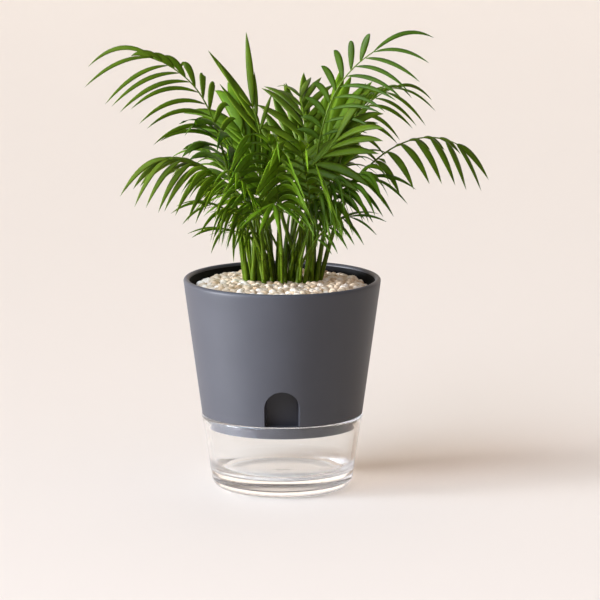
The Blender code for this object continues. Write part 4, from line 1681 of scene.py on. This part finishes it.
    def build(self) -> list[bpy.types.Object]:
        """Grows every frond's leaflets and joins those of each tone.

        Returns:
            One piece per tone.
        """
        chance = np.random.default_rng(SEED + 2)
        grown: dict[LeafTone, list[tuple[str, tuple[Array, list[Indices], Array]]]] = {}
        for _, borne in self.rule.grown():
            for frond, rib in borne:
                blades = self.blades(self.rows(frond, rib, chance))
                grown.setdefault(frond.tone, []).append((frond.name, blades))
        pieces = []
        for tone, made in grown.items():
            points, faces = joined([blades[:2] for _, blades in made])
            uv = np.concatenate([blades[2] for _, blades in made])
            finish = LeafBlade(tone).material()
            piece = mesh_object(f"leaflets_{tone.name.lower()}", points, faces, finish, uv)
            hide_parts(*[name for name, _ in made])
            pieces.append(piece)
        return pieces


# Studio


def new_light(name: str, kind: str, power: float, colour: str) -> bpy.types.Light:
    """Makes what a light's object holds.

    Args:
        name: The light's name.
        kind: AREA or SUN.
        power: Watts, or W/m2 where the light is far away.
        colour: An sRGB hex colour.

    Returns:
        The light, not in the scene yet.
    """
    light = bpy.data.lights.new(name, kind)
    light.energy = power
    light.color = linear(colour)[:3]
    return light


def aimed(data: bpy.types.ID, place: Vector, direction: Vector) -> bpy.types.Object:
    """Puts a light or a camera into the scene.

    Args:
        data: What its object holds, and is named after.
        place: Where it stands.
        direction: Where it faces.

    Returns:
        The object.
    """
    made = linked(data.name, data)
    made.location = place
    made.rotation_euler = direction.to_track_quat("-Z", "Y").to_euler()
    return made


@dataclass
class Lamp:
    """A round area lamp: where it stands, its size, power and colour, and what it faces."""

    name: str
    place: tuple[float, float, float]
    size: float
    watts: float
    colour: str
    target: tuple[float, float, float] = (0.0, 0.0, 0.16)

    def build(self) -> None:
        """Hangs the lamp so that it faces its target, unseen in the glass."""
        light = new_light(self.name, "AREA", self.watts, self.colour)
        light.shape = "DISK"
        light.size = self.size
        place = Vector(self.place)
        aimed(light, place, Vector(self.target) - place).visible_glossy = False


@dataclass
class FarLight:
    """A broad light far away. Its angles are in degrees, its strength in W/m2."""

    name: str
    toward_front: float
    height: float
    spread: float
    strength: float
    colour: str

    def build(self) -> None:
        """Makes the light, on the left, turned toward the front and raised, unseen through glass."""
        light = new_light(self.name, "SUN", self.strength, self.colour)
        light.angle = radians(self.spread)
        turn, rise = radians(self.toward_front), radians(self.height)
        place = Vector((-cos(rise) * cos(turn), -cos(rise) * sin(turn), sin(rise)))
        aimed(light, place, -place).visible_transmission = False


@dataclass
class Studio:
    """The pale sweep, the lamps and the camera at the photograph's angle."""

    distance: float = 3.500
    elevation: float = radians(10.572)
    target: tuple[float, float, float] = (0.013482, 0.0, 0.14299)
    focal_px: float = 4621.1
    image_px: float = 600.0
    sensor_mm: float = 36.0
    sight: float = 50.0
    sky: str = "#f6ddc8"
    sky_strength: float = 0.43
    half_width: float = 9.0
    front: float = -9.0
    back: float = 6.0
    sweep_radius: float = 0.8
    bend_points: int = 25
    wall_height: float = 4.0
    sunk: float = 0.0002
    light_paths: int = 24
    lights: tuple[FarLight | Lamp, ...] = (
        FarLight("window_left", 15.0, 2.5, 20.0, 11.0, "#f4f6ff"),
        FarLight("skylight", 29.0, 48.0, 36.0, 2.40, "#cee5ff"),
        Lamp("front_soft", (-0.8, -1.6, 1.35), 1.1, 19.0, "#cbd9f7"),
    )

    def sweep(self) -> bpy.types.Object:
        """The floor that curves up into a wall: a profile carried along X, sunk a little.

        Returns:
            The sweep.
        """
        turns = np.radians(np.linspace(-90.0, 0.0, self.bend_points))
        bend = np.stack(
            (self.back + self.sweep_radius * np.cos(turns), self.sweep_radius * (1 + np.sin(turns))), axis=1
        )
        profile = np.vstack(((self.front, 0.0), bend, (self.back + self.sweep_radius, self.wall_height)))
        rows = [
            np.stack((np.full(len(profile), x), profile[:, 0], profile[:, 1] - self.sunk), axis=1)
            for x in (-self.half_width, self.half_width)
        ]
        count = len(profile)
        index = np.arange(count - 1)
        quads = np.stack((index, index + count, index + count + 1, index + 1), axis=1)
        return mesh_object("paper_sweep", np.concatenate(rows), [quads], StudioPaper().material())

    def camera(self) -> bpy.types.Object:
        """The camera that the photograph was matched with.

        Returns:
            The camera.
        """
        data = bpy.data.cameras.new("photo_camera")
        data.sensor_fit = "HORIZONTAL"
        data.sensor_width = self.sensor_mm
        data.lens = self.focal_px / self.image_px * self.sensor_mm
        data.clip_end = self.sight
        away = Vector((0.0, -cos(self.elevation), sin(self.elevation)))
        return aimed(data, Vector(self.target) + away * self.distance, -away)

    def build(self) -> None:
        """Sets the stage, the sky, the lamps and the camera."""
        scene = bpy.context.scene
        self.sweep()
        world = bpy.data.worlds.new("soft_sky")
        world.use_nodes = True
        tree = world.node_tree
        tree.nodes.clear()
        sky = add(
            tree, "ShaderNodeBackground", values={"Color": linear(self.sky), "Strength": self.sky_strength}
        )
        add(tree, "ShaderNodeOutputWorld", links={"Surface": sky})
        scene.world = world
        for light in self.lights:
            light.build()
        scene.camera = self.camera()
        scene.view_settings.view_transform = "Standard"
        # Deep paths keep the glass's rim clear, and without caustics no glow lies at its foot
        scene.cycles.caustics_reflective = False
        scene.cycles.max_bounces = self.light_paths
        scene.cycles.glossy_bounces = self.light_paths
        scene.cycles.transmission_bounces = self.light_paths


class Builder(Protocol):
    """A sub-assembly that can be built."""

    def build(self) -> list[bpy.types.Object]:
        """Builds and dresses the sub-assembly's pieces."""
        ...


def dress_soil() -> None:
    """Lays potting mix on the solid that keeps its own shape."""
    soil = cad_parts["soil"]
    soil.data.materials.clear()
    soil.data.materials.append(PottingMix().material())


def main() -> None:
    """Builds the plant, its pot and the studio."""
    logging.basicConfig(level=logging.INFO, format="%(name)s: %(message)s", stream=sys.stdout)
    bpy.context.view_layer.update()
    pot = PotSizes()
    rule = CrownRule()
    builders: list[Builder] = [Reservoir(pot), Planter(pot), PebbleBed(pot), CaneClump(rule), Foliage(rule)]
    for builder in builders:
        for piece in builder.build():
            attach(piece, "root")
            LOG.info("%s: %d faces", piece.name, len(piece.data.polygons))
    dress_soil()
    Studio().build()


if __name__ == "__main__":
    main()
